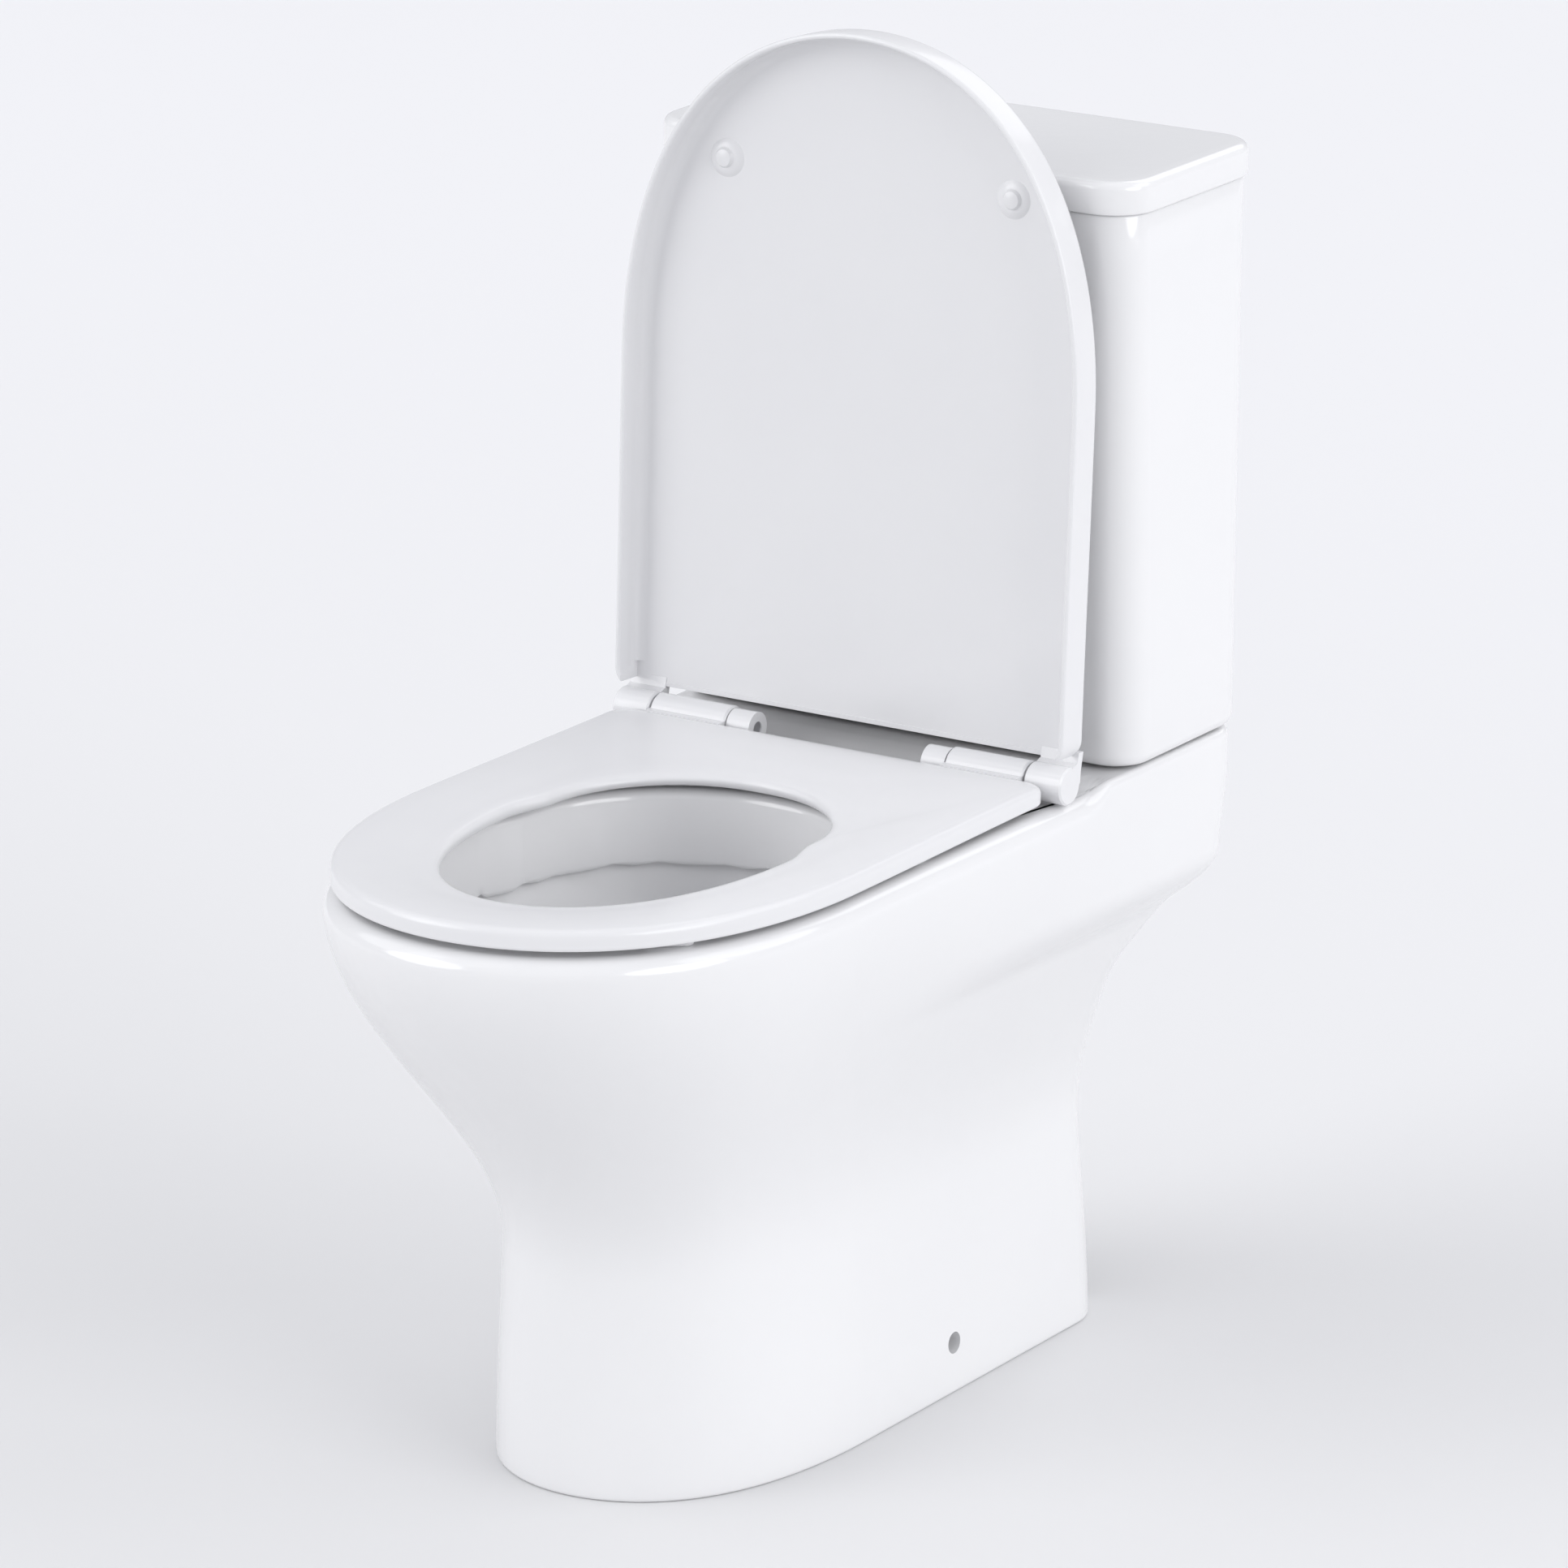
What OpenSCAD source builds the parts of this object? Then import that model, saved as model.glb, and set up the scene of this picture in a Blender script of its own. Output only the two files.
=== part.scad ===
// Close coupled toilet: pan, cistern with dual flush fittings, soft close seat and lid.
// Millimetres, +Z up. The origin is on the floor, under the middle of the whole toilet.
// The front of the pan points to -Y, the cistern stands at +Y, and X is the line of symmetry.

/* [Overall] */
// Depth from the front of the pan to the back of the cistern lid
depth = 704; // [670:5:760]
// Height of the flat top of the pan that the seat rests over
deck_z = 410; // [390:2:450]

/* [Pan] */
// Width across the rim, beside the bowl
pan_w = 350; // [330:2:390]
// Width across the shelf that carries the cistern
shelf_w = 362; // [340:2:400]
// Height of the shelf above the deck
shelf_h = 5; // [4:1:16]
// Width of the foot on the floor
foot_w = 232; // [200:2:280]
// Distance from the front of the rim back to the front of the foot
foot_set_back = 142; // [90:1:180]
// Distance from the back of the cistern lid forward to the back of the foot
back_set_in = 63; // [60:1:140]
// Width at the waist
waist_w = 222; // [190:2:270]
// Height of the waist
waist_z = 190; // [150:2:240]
// Thickness of the fired clay wall
clay = 12; // [9:0.5:18]
// Thickness of the deck round the bowl
deck_t = 18; // [14:1:26]
// Width of the bowl inside the rim
bowl_w = 252; // [230:2:270]
// Distance from the outside of the rim to the bowl, at the front
rim_front = 46; // [40:1:60]
// Height of the rim's upright inner wall
rim_wall = 52; // [36:1:70]
// Height above the floor of the bottom of the sump
sump_z = 168; // [150:2:200]
// Radius of the sump
sump_r = 44; // [38:1:52]

/* [Waste] */
// Height of the middle of the outlet above the floor
outlet_z = 185; // [180:1:195]
// Outside diameter of the outlet spigot
outlet_d = 102; // [98:1:106]
// Inside diameter of the trap
trap_d = 76; // [64:1:82]
// Length of the plain outside of the outlet spigot
spigot_len = 52; // [40:1:70]

/* [Floor fixing] */
// Diameter of the hole in each side of the foot
side_hole_d = 15; // [8:0.5:18]
// Height of the side holes above the floor
side_hole_z = 36; // [28:1:50]
// Distance from the back of the foot to the side holes
side_hole_in = 201; // [120:1:230]

/* [Cistern] */
// Width of the cistern at its top
cistern_w = 372; // [350:2:400]
// How much narrower the cistern is at its bottom, on each side
cistern_taper = 3; // [0:0.5:10]
// Depth of the cistern at its top
cistern_d = 168; // [155:1:185]
// How far the cistern's front leans in towards its bottom
cistern_lean = 14; // [6:1:24]
// Height of the cistern without its lid
cistern_h = 380; // [350:2:440]
// Corner radius of the cistern in plan
cistern_r = 28; // [20:1:40]
// Wall of the cistern
cistern_wall = 10; // [8:0.5:13]
// Floor of the cistern
cistern_floor = 12; // [10:0.5:16]
// Thickness of the cistern lid at its edge
lid_t = 22; // [20:1:38]
// Overhang of the cistern lid
lid_over = 3; // [1:0.5:6]

/* [Buttons] */
// Diameter of the hole in the cistern lid
lid_hole_d = 42; // [36:0.5:48]
// How far the chrome bezel covers the lid round its hole
bezel_over = 10; // [6:0.5:14]
// Wall of the bezel's sleeve in the hole
sleeve_wall = 1.9; // [1.5:0.1:3]
// Travel of each button
button_travel = 6; // [4:0.5:8]
// Gap round and between the buttons
button_gap = 0.6; // [0.4:0.1:1]

/* [Seat] */
// Width of the seat
seat_w = 342; // [330:2:366]
// Height of the hinge axis above the deck
hinge_h = 14; // [14:0.5:18]
// Distance from the hinge axis back to the cistern's front at the top
hinge_gap = 52; // [48:1:70]
// Distance between the two seat bolts
seat_bolts = 155; // [140:1:170]
// Thickness of the seat at its outer edge
seat_t = 14; // [12:0.5:16]
// Gap between seat and pan, filled by the buffers
seat_gap = 5; // [4:0.5:7]
// Width of the opening in the seat
opening_w = 216; // [200:2:230]
// Width of the seat's ring at the front
ring_front = 68; // [60:1:80]
// Thickness of the lid's wall
seat_lid_wall = 4; // [3:0.5:5]
// Angle of the raised lid, past upright
lid_lean = 3; // [0:0.5:5]

/* [Hidden] */
$fn = 48;
e = 0.01;

// Named places
front_y = -depth / 2;
back_y = depth / 2 - lid_over;
foot_front = front_y + foot_set_back;
foot_back = depth / 2 - back_set_in;
shelf_z = deck_z + shelf_h;
cistern_z = shelf_z + 2;
cistern_top = cistern_z + cistern_h;
cistern_front = back_y - cistern_d;
hinge_y = cistern_front - hinge_gap;
hinge_z = deck_z + hinge_h;
flush_y = back_y - (cistern_d - 12) / 2;
fill_x = 62 - cistern_w / 2;
fill_y = flush_y + 26;
bolt_x = 76;

// Colours
white_clay = [0.94, 0.94, 0.95];
white_plastic = [0.90, 0.90, 0.91];
chrome = [0.78, 0.79, 0.81];
grey_rubber = [0.22, 0.22, 0.23];
steel = [0.70, 0.70, 0.72];
valve_white = [0.86, 0.87, 0.88];
valve_blue = [0.25, 0.45, 0.72];
valve_red = [0.72, 0.24, 0.22];

// ---- Shapes that repeat ----

// Eased step from 0 to 1
function ease(t) = t * t * (3 - 2 * t);
function mix(a, b, t) = a + (b - a) * t;

corner_n = 7;
side_n = 6;
front_n = 22;

// Right half of a D outline: rounded back corner, side, then a full quarter of the nose
function half_plan(w, wb, front, mid, back, r, full) = concat(
    [for (i = [0 : corner_n])
        let (a = 90 - 90 * i / corner_n)
        [wb - r + r * cos(a), back - r + r * sin(a)]],
    [for (i = [1 : side_n])
        [mix(wb, w, ease(i / side_n)), mix(back - r, mid, i / side_n)]],
    [for (i = [1 : front_n])
        let (a = 90 * i / front_n)
        [w * cos(a) * (1 + full * pow(sin(a), 2)), mix(mid, front, sin(a))]]
);
// Whole outline, anticlockwise from above: the left half mirrors the right half
function plan(w, wb, front, mid, back, r, full) =
    let (h = half_plan(w, wb, front, mid, back, r, full), n = len(h))
    concat([for (i = [0 : n - 1]) [-h[i][0], h[i][1]]], [for (i = [n - 2 : -1 : 0]) h[i]]);
// An outline at one height
function at(p, z) = [for (q = p) [q[0], q[1], z]];

// Skin through rings of points, from the first ring up to the last, with flat ends
module loft(rings) {
    n = len(rings[0]);
    m = len(rings);
    polyhedron(
        points = [for (r = rings) each r],
        faces = concat(
            [[for (j = [0 : n - 1]) j]],
            [[for (j = [n - 1 : -1 : 0]) (m - 1) * n + j]],
            [for (i = [0 : m - 2], j = [0 : n - 1])
                let (k = (j + 1) % n) [i * n + j, (i + 1) * n + j, (i + 1) * n + k]],
            [for (i = [0 : m - 2], j = [0 : n - 1])
                let (k = (j + 1) % n) [i * n + j, (i + 1) * n + k, i * n + k]]
        ),
        convexity = 10
    );
}
// Skin through rings that close on themselves, the last ring joined to the first
module hoop(rings) {
    n = len(rings[0]);
    m = len(rings);
    polyhedron(
        points = [for (r = rings) each r],
        faces = concat(
            [for (i = [0 : m - 1], j = [0 : n - 1])
                let (k = (j + 1) % n, l = (i + 1) % m) [i * n + j, l * n + j, l * n + k]],
            [for (i = [0 : m - 1], j = [0 : n - 1])
                let (k = (j + 1) % n, l = (i + 1) % m) [i * n + j, l * n + k, i * n + k]]
        ),
        convexity = 10
    );
}
// Ring or tube on the Z axis
module ring(r_out, r_in, h) {
    difference() {
        cylinder(r = r_out, h = h);
        translate([0, 0, -1]) cylinder(r = r_in, h = h + 2);
    }
}
// Cylinder along X, from x to x + l
module rod_x(r, x, l) {
    translate([x, 0, 0]) rotate([0, 90, 0]) cylinder(r = r, h = l);
}
// Wing nut on the Z axis, with a threaded hole
module wing_nut(r_hole, r_hub, h, span) {
    difference() {
        union() {
            cylinder(r = r_hub, h = h);
            translate([-span / 2, -1.5, 1]) cube([span, 3, h - 1]);
        }
        translate([0, 0, -1]) cylinder(r = r_hole, h = h + 2);
    }
}
// Six-sided nut on the Z axis
module hex_nut(r_hole, r_hex, h) {
    difference() {
        cylinder(r = r_hex, h = h, $fn = 6);
        translate([0, 0, -1]) cylinder(r = r_hole, h = h + 2);
    }
}

// ---- Pan ----

rim_r = 13;
flare_z = 148;
under_h = 80;
under_z = deck_z - 78 - under_h;

// Half width, front and back of the outside of the pan at height z
function up(z) = ease(min(1, max(0, (z - flare_z) / (deck_z - 6 - flare_z))));
function down(z) = ease(min(1, max(0, 1 - z / waist_z)));
function overhang(z) = ease(min(1, max(0, (z - under_z) / under_h)));
function pan_half(z) = mix(mix(waist_w, foot_w, down(z)), pan_w, up(z)) / 2;
function pan_back_half(z) = mix(mix(waist_w, foot_w, down(z)), shelf_w, max(up(z), overhang(z))) / 2;
function pan_front(z) = mix(mix(foot_front + 7, foot_front, down(z)), front_y, up(z));
function pan_back(z) = mix(mix(foot_back - 10, foot_back, down(z)), back_y - 10, overhang(z))
    + 10 * ease(min(1, max(0, (z - under_z - under_h) / 50)));
function pan_mid(z) = mix(foot_front + 188, hinge_y - 252, up(z));
// Outline of the pan at height z, drawn in by d
function pan_plan(z, d) = plan(
    pan_half(z) - d, pan_back_half(z) - d, pan_front(z) + d, pan_mid(z),
    pan_back(z) - d, mix(40, 30, overhang(z)) - d, mix(0.16, 0.10, up(z))
);

// Heights of the pan's rings: even up to the waist, then closer round the overhang
pan_levels = concat(
    [for (z = [4, 14]) z], [for (i = [1 : 5]) mix(14, waist_z, i / 5)],
    [for (i = [1 : 3]) mix(waist_z, under_z - 14, i / 3)],
    [for (i = [0 : 9]) mix(under_z, under_z + under_h + 4, i / 9)],
    [for (i = [1 : 3]) mix(under_z + under_h + 4, deck_z - 24, i / 3)]
);
cavity_levels = concat(
    [-1], [for (i = [1 : 3]) mix(0, waist_z, i / 3)],
    [for (i = [1 : 2]) mix(waist_z, under_z - 14, i / 2)],
    [for (i = [0 : 4]) mix(under_z, under_z + under_h, i / 4)],
    [for (i = [1 : 2]) mix(under_z + under_h, deck_z - deck_t - 14, i / 2)]
);

module pan_outside() {
    loft(concat(
        [at(pan_plan(0, 3), 0), at(pan_plan(0, 0.8), 1.2)],
        [for (z = pan_levels) at(pan_plan(z, 0), z)],
        [for (a = [0 : 18 : 90])
            at(pan_plan(deck_z, rim_r * (1 - cos(a))), deck_z - rim_r * (1 - sin(a)))]
    ));
}
module pan_cavity() {
    loft(concat(
        [for (z = cavity_levels) at(pan_plan(max(z, 0), clay), z)],
        [at(pan_plan(deck_z - deck_t, clay), deck_z - deck_t)]
    ));
}

// Bowl: the rim's outline drawn down to the round sump, each point along a slope with some belly
belly = 0.3;
function inward(t) = mix(t, 1 - cos(90 * t), belly);
function fall(t) = mix(t, sin(90 * t), belly);
bowl_back = hinge_y - 92;
bowl_front = front_y + rim_front;
sump_y = bowl_back - 73;
bowl_steps = 9;
function bowl_plan(d) = plan(
    bowl_w / 2 + d, bowl_w / 2 - 10 + d, bowl_front - d, hinge_y - 245,
    bowl_back + d, bowl_w / 2 - 12 + d, 0.06
);
function unit(v) = v / norm(v);
function to_sump(q, r, t) =
    let (c = [0, sump_y], s = c + r * unit([q[0], q[1]] - [0, sump_y - 54])) mix([q[0], q[1]], s, t);
module bowl(d) {
    rim_low = deck_z - rim_wall;
    well_top = sump_z + 50;
    loft(concat(
        [for (a = [30 : 20 : 90])
            at([for (q = bowl_plan(d)) to_sump(q, (sump_r + d) * sin(a), 1)],
                sump_z - d + 26 * (1 - cos(a)))],
        [for (i = [bowl_steps : -1 : 1])
            at([for (q = bowl_plan(d)) to_sump(q, sump_r + d, inward(i / bowl_steps))],
                mix(rim_low, well_top, fall(i / bowl_steps)) - d * i / bowl_steps)],
        [at(bowl_plan(d), rim_low), at(bowl_plan(d), deck_z + (d > 0 ? -e : 1))]
    ));
}

// Trap: a round tube up from the sump, over the weir and down to the outlet
rise_a = 38;
fall_a = 50;
rise_len = 40;
weir_r = 58;
heel_r = 60;
trap_start = [sump_y + 4, sump_z + trap_d / 2 + 1];
rise_end = trap_start + rise_len * [cos(rise_a), sin(rise_a)];
weir_c = rise_end + weir_r * [sin(rise_a), -cos(rise_a)];
weir_end = weir_c + weir_r * [sin(fall_a), cos(fall_a)];
fall_len = (weir_end[1] - outlet_z - heel_r * (1 - cos(fall_a))) / sin(fall_a);
fall_end = weir_end + fall_len * [cos(fall_a), -sin(fall_a)];
heel_c = fall_end + heel_r * [sin(fall_a), cos(fall_a)];
outlet_end = foot_back - 4;
// Points of the middle line as [y, z, heading]
trap_path = concat(
    [[trap_start[0], trap_start[1], rise_a]],
    [for (a = [rise_a : -11 : -fall_a])
        [weir_c[0] - weir_r * sin(a), weir_c[1] + weir_r * cos(a), a]],
    [for (a = [-fall_a : 12.5 : 0])
        [heel_c[0] + heel_r * sin(a), heel_c[1] - heel_r * cos(a), a]],
    [[outlet_end - spigot_len + 10, outlet_z, 0]]
);
module trap_tube(r) {
    sides = 24;
    loft([for (p = trap_path) [for (i = [0 : sides - 1])
        let (a = -360 * i / sides)
        [r * cos(a), p[0] - r * sin(a) * sin(p[2]), p[1] + r * sin(a) * cos(p[2])]]]);
}

inlet_r = 34;
gasket_r = 56;
recess_z = deck_z - 8;
duct_z = deck_z - 40;
way_in_w = waist_w - 2 * clay - 24;
way_in_depth = clay + 18;
module pan() color(white_clay) {
    difference() {
        union() {
            resize([shelf_w, 0, 0]) difference() {
                pan_outside();
                difference() {
                    pan_cavity();
                    bowl(clay);
                    trap_tube(trap_d / 2 + clay);
                }
                bowl(0);
                trap_tube(trap_d / 2);
                // Way in to the outlet, from behind
                translate([-way_in_w / 2, foot_back - way_in_depth, -1])
                    cube([way_in_w, 300, under_z - 6]);
            }
            shelf();
            // Boss round the flush inlet, the duct from it to the bowl, and the outlet spigot
            translate([0, flush_y, duct_z - 26]) cylinder(r = gasket_r + 6, h = deck_z - duct_z + 20);
            translate([0, flush_y, duct_z]) rotate([90, 0, 0]) cylinder(r = 25, h = flush_y - bowl_back - 4);
            translate([0, outlet_end - spigot_len, outlet_z]) rotate([-90, 0, 0])
                cylinder(d = outlet_d, h = spigot_len);
        }
        // Gasket recess, inlet, duct and outlet bores
        translate([0, flush_y, recess_z]) cylinder(r = gasket_r, h = 40);
        translate([0, flush_y, duct_z - 16]) cylinder(r = inlet_r, h = 80);
        translate([0, flush_y, duct_z]) rotate([90, 0, 0]) cylinder(r = 15, h = flush_y - bowl_back + 20);
        translate([0, outlet_end - spigot_len - 14, outlet_z]) rotate([-90, 0, 0])
            cylinder(r = trap_d / 2 + 0.5, h = spigot_len + 20);
        // Seat bolts, cistern bolts, the fill valve's tail and the side fixings
        for (s = [-1, 1]) {
            translate([s * seat_bolts / 2, hinge_y, deck_z - 40]) cylinder(r = 7, h = 60);
            translate([s * bolt_x, flush_y, deck_z - 40]) cylinder(r = 6, h = 80);
        }
        translate([fill_x, fill_y, under_z - 20]) cylinder(r = 22, h = 200);
        translate([0, foot_back - side_hole_in, side_hole_z]) rotate([0, 90, 0])
            cylinder(d = side_hole_d, h = 2 * foot_w, center = true);
    }
}
// Flat shelf for the cistern, with a slope up to it from the deck
module shelf() {
    slope_y = cistern_front - 26;
    intersection() {
        translate([0, 0, deck_z - rim_r]) linear_extrude(rim_r + shelf_h)
            polygon(pan_plan(deck_z, 1.5));
        rotate([90, 0, 90]) linear_extrude(shelf_w, center = true) polygon([
            [slope_y, deck_z - 4], [slope_y + 3, deck_z], [slope_y + 8, deck_z + 1],
            [slope_y + 16, shelf_z - 1], [slope_y + 22, shelf_z],
            [back_y - 4, shelf_z], [back_y, shelf_z - 5], [back_y, deck_z - rim_r + 1],
            [slope_y, deck_z - rim_r + 1]
        ]);
    }
}

// ---- Cistern ----

// Rounded rectangle, anticlockwise from above
round_n = 8;
function round_rect(w, y0, y1, r) = [
    for (c = [[-1, y1 - r, 90], [-1, y0 + r, 180], [1, y0 + r, 270], [1, y1 - r, 0]], i = [0 : round_n])
        let (a = c[2] + 90 * i / round_n)
        [c[0] * (w / 2 - r) + r * cos(a), c[1] + r * sin(a)]
];
// Outline of the cistern at height z, drawn in by d
function cistern_plan(z, d) =
    let (low = max(0, 1 - (z - cistern_z) / cistern_h))
    round_rect(
        cistern_w - 2 * cistern_taper * low - 2 * d, cistern_front + cistern_lean * low + d,
        back_y - d, cistern_r - d
    );
// The cistern's form drawn in by d, from z0 to z1, with a rounded bottom edge
bottom_edge = 8;
module cistern_form(d, z0, z1) {
    loft(concat(
        [for (a = [90 : -22.5 : 0])
            let (z = z0 + bottom_edge * (1 - sin(a)))
            at(cistern_plan(z, d + bottom_edge * (1 - cos(a))), z)],
        [at(cistern_plan(z1, d), z1)]
    ));
}
module cistern() color(white_clay) {
    difference() {
        cistern_form(0, cistern_z, cistern_top);
        cistern_form(cistern_wall, cistern_z + cistern_floor, cistern_top + 1);
        translate([0, flush_y, cistern_z - 1]) cylinder(r = 31.5, h = 40);
        translate([fill_x, fill_y, cistern_z - 1]) cylinder(r = 11.5, h = 40);
        for (s = [-1, 1])
            translate([s * bolt_x, flush_y, cistern_z - 1]) cylinder(r = 5.5, h = 40);
    }
}
lid_top = cistern_top + lid_t;
lid_plate = 14;
lid_edge = 6;
function lid_outline(d) = round_rect(
    cistern_w + 2 * lid_over - 2 * d, cistern_front - lid_over + d, back_y + lid_over - d,
    cistern_r + lid_over - d
);
module cistern_lid() color(white_clay) {
    lip = lid_over + cistern_wall + 2.5;
    difference() {
        union() {
            loft(concat(
                [at(lid_outline(1.2), cistern_top), at(lid_outline(0), cistern_top + 1.2)],
                [for (a = [0 : 15 : 90])
                    at(lid_outline(lid_edge * (1 - cos(a))), lid_top - lid_edge * (1 - sin(a)))]
            ));
            // Lip that keeps the lid in place on the cistern
            loft([at(lid_outline(lip), cistern_top - 7), at(lid_outline(lip), cistern_top + 3)]);
        }
        // Hollow underside
        loft([at(lid_outline(lip + 6), cistern_top - 10), at(lid_outline(lip + 6), lid_top - lid_plate)]);
        translate([0, flush_y, cistern_top - 1]) cylinder(d = lid_hole_d, h = lid_t + 2);
    }
}

// ---- Buttons ----

bezel_d = lid_hole_d + 2 * bezel_over;
sleeve_out = lid_hole_d / 2 - 0.5;
sleeve_in = sleeve_out - sleeve_wall;
button_d = 2 * (sleeve_in - button_gap);
sleeve_len = 34;
bezel_h = 3;
split_x = -5;
rod_r = 3.5;
full_rod_x = 7;
half_rod_x = -11.5;
button_h = 15;
plunger_top = cistern_top - 60;
module button_bezel() color(chrome) translate([0, flush_y, lid_top]) {
    difference() {
        rotate_extrude($fn = 96) polygon([
            [sleeve_in, bezel_h], [bezel_d / 2 - 5, bezel_h], [bezel_d / 2 - 1.5, bezel_h * 0.6],
            [bezel_d / 2, 0.3], [bezel_d / 2, 0], [sleeve_out, 0], [sleeve_out, -sleeve_len],
            [0, -sleeve_len], [0, 3 - sleeve_len], [sleeve_in, 3 - sleeve_len]
        ]);
        for (x = [full_rod_x, half_rod_x])
            translate([x, 0, -sleeve_len - 1]) cylinder(r = rod_r + 0.4, h = 6);
    }
}
module button_nut() color(valve_white)
    translate([0, flush_y, lid_top - lid_plate - 9]) ring(29, sleeve_out, 9);
// Part of the round button on one side of the split
module button_part(side) {
    intersection() {
        translate([0, 0, bezel_h - button_h - 0.5]) cylinder(d = button_d, h = button_h);
        translate([split_x + (side > 0 ? button_gap / 2 : -60 - button_gap / 2), -30, -30])
            cube([60, 60, 60]);
    }
}
module full_flush_button() color(chrome) translate([0, flush_y, lid_top]) button_part(1);
module half_flush_button() color(chrome) translate([0, flush_y, lid_top]) button_part(-1);
module push_rod(x) {
    top = lid_top + bezel_h - button_h - 0.5;
    translate([x, flush_y, plunger_top]) cylinder(r = rod_r, h = top - plunger_top);
}
module full_push_rod() color(valve_blue) push_rod(full_rod_x);
module half_push_rod() color(valve_red) push_rod(half_rod_x);

// ---- Flush valve ----

floor_z = cistern_z + cistern_floor;
washer_t = 2;
base_z = floor_z + washer_t;
tail_r = 29;
bore_r = 24;
cage_z = base_z + 6;
cage_h = 94;
cage_r = 40;
head_z = plunger_top - 24;
column_x = 38;
tube_top = head_z - 30;
seal_t = 4;
stem_lift = 12;
module flush_valve_base() color(valve_white) translate([0, flush_y, 0]) {
    difference() {
        union() {
            translate([0, 0, cistern_z - 40]) cylinder(r = tail_r, h = base_z - cistern_z + 41);
            translate([0, 0, base_z]) cylinder(r = cage_r, h = cage_z - base_z);
        }
        translate([0, 0, cistern_z - 50]) cylinder(r = bore_r, h = 100);
    }
}
module flush_valve_cage() color(valve_white) translate([0, flush_y, cage_z]) {
    difference() {
        union() {
            ring(cage_r, cage_r - 3, cage_h);
            translate([0, 0, cage_h - 4]) ring(cage_r + 3, cage_r - 3, 4);
        }
        for (a = [45 : 90 : 315]) rotate([0, 0, a]) translate([20, -14, 8]) cube([40, 28, 40]);
    }
}
module flush_valve_head() color(valve_white) translate([0, flush_y, 0]) {
    difference() {
        union() {
            translate([-column_x - 4, -12, head_z]) cube([2 * column_x + 8, 24, 8]);
            for (s = [-1, 1]) translate([s * column_x, 0, cage_z + cage_h])
                cylinder(r = 4, h = head_z - cage_z - cage_h + 1);
        }
        for (x = [full_rod_x, half_rod_x])
            translate([x, 0, head_z - 1]) cylinder(r = rod_r + 1.55, h = 10);
    }
}
module plunger(x) {
    translate([x, flush_y, head_z - 5]) cylinder(r = rod_r + 1.5, h = plunger_top - head_z + 5 - 0.5);
}
module full_flush_plunger() color(valve_blue) plunger(full_rod_x);
module half_flush_plunger() color(valve_red) plunger(half_rod_x);
module overflow_tube() color(valve_white)
    translate([0, flush_y, cage_z + seal_t]) ring(14, 12, tube_top - cage_z - seal_t);
module flush_float() color(valve_blue)
    translate([0, flush_y, cage_z + 26]) ring(33, 14, 48);
module flush_seal() color(grey_rubber)
    translate([0, flush_y, cage_z]) ring(30, 12, seal_t);
module flush_valve_washer() color(grey_rubber)
    translate([0, flush_y, floor_z]) ring(cage_r, tail_r, washer_t);
nut_h = 12;
module flush_valve_nut() color(valve_white)
    translate([0, flush_y, cistern_z - nut_h]) hex_nut(tail_r, 40, nut_h);

// ---- Fill valve ----

shank_r = 10.4;
neck_r = shank_r - 0.2;
nut_t = 10;
tail_len = 40;
riser_r = 11;
riser_top = cistern_top - 116;
float_z = riser_top - 98;
float_h = 70;
float_travel = 20;
link_x = 62;
lever_x = 26;
lever_z = riser_top + 20;
module fill_valve_riser() color(valve_white) translate([fill_x, fill_y, 0]) {
    // Threaded tail below the nut, and the plain neck above it
    translate([0, 0, cistern_z - nut_t - tail_len]) ring(shank_r, 6, tail_len);
    translate([0, 0, cistern_z - nut_t - 1]) ring(neck_r, 6, floor_z - cistern_z + nut_t + 1);
    translate([0, 0, floor_z + washer_t]) ring(18, 6, 5);
    translate([0, 0, floor_z]) ring(neck_r, 6, 3);
    translate([0, 0, floor_z + washer_t]) ring(riser_r, 6, riser_top - floor_z - washer_t);
}
module fill_valve_head() color(valve_white) translate([fill_x, fill_y, riser_top]) {
    cylinder(r = 20, h = 40);
    // Two ears that hold the lever
    for (s = [-1, 1]) difference() {
        translate([12, s * 7 - 1.5, 12]) cube([lever_x - 7, 3, 16]);
        translate([lever_x, 20, 20]) rotate([90, 0, 0]) cylinder(r = 2.05, h = 40);
    }
}
module fill_valve_lever() color(valve_blue) translate([fill_x, fill_y, lever_z]) {
    translate([lever_x, 9, 0]) rotate([90, 0, 0]) cylinder(r = 2, h = 18);
    translate([lever_x - 3, -4.5, -2.5]) cube([20, 9, 5]);
    for (s = [-1, 1]) translate([lever_x + 16, s * 5 - 2, -2.5]) cube([32, 4, 5]);
}
module fill_valve_float() color(valve_white) translate([fill_x, fill_y, float_z]) {
    difference() {
        union() {
            cylinder(r = 28, h = float_h);
            translate([20, -4, float_h - 6]) cube([link_x - 16, 8, 6]);
        }
        translate([0, 0, -1]) cylinder(r = riser_r + 0.6, h = float_h + 2);
    }
    translate([link_x, 0, float_h - 3]) cylinder(r = 2, h = lever_z - float_z - float_h + 12);
}
module fill_valve_washer() color(grey_rubber)
    translate([fill_x, fill_y, floor_z]) ring(18, neck_r, washer_t);
module fill_valve_nut() color(valve_white)
    translate([fill_x, fill_y, cistern_z - nut_t]) hex_nut(neck_r, 16, nut_t);

// ---- Coupling ----

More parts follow.
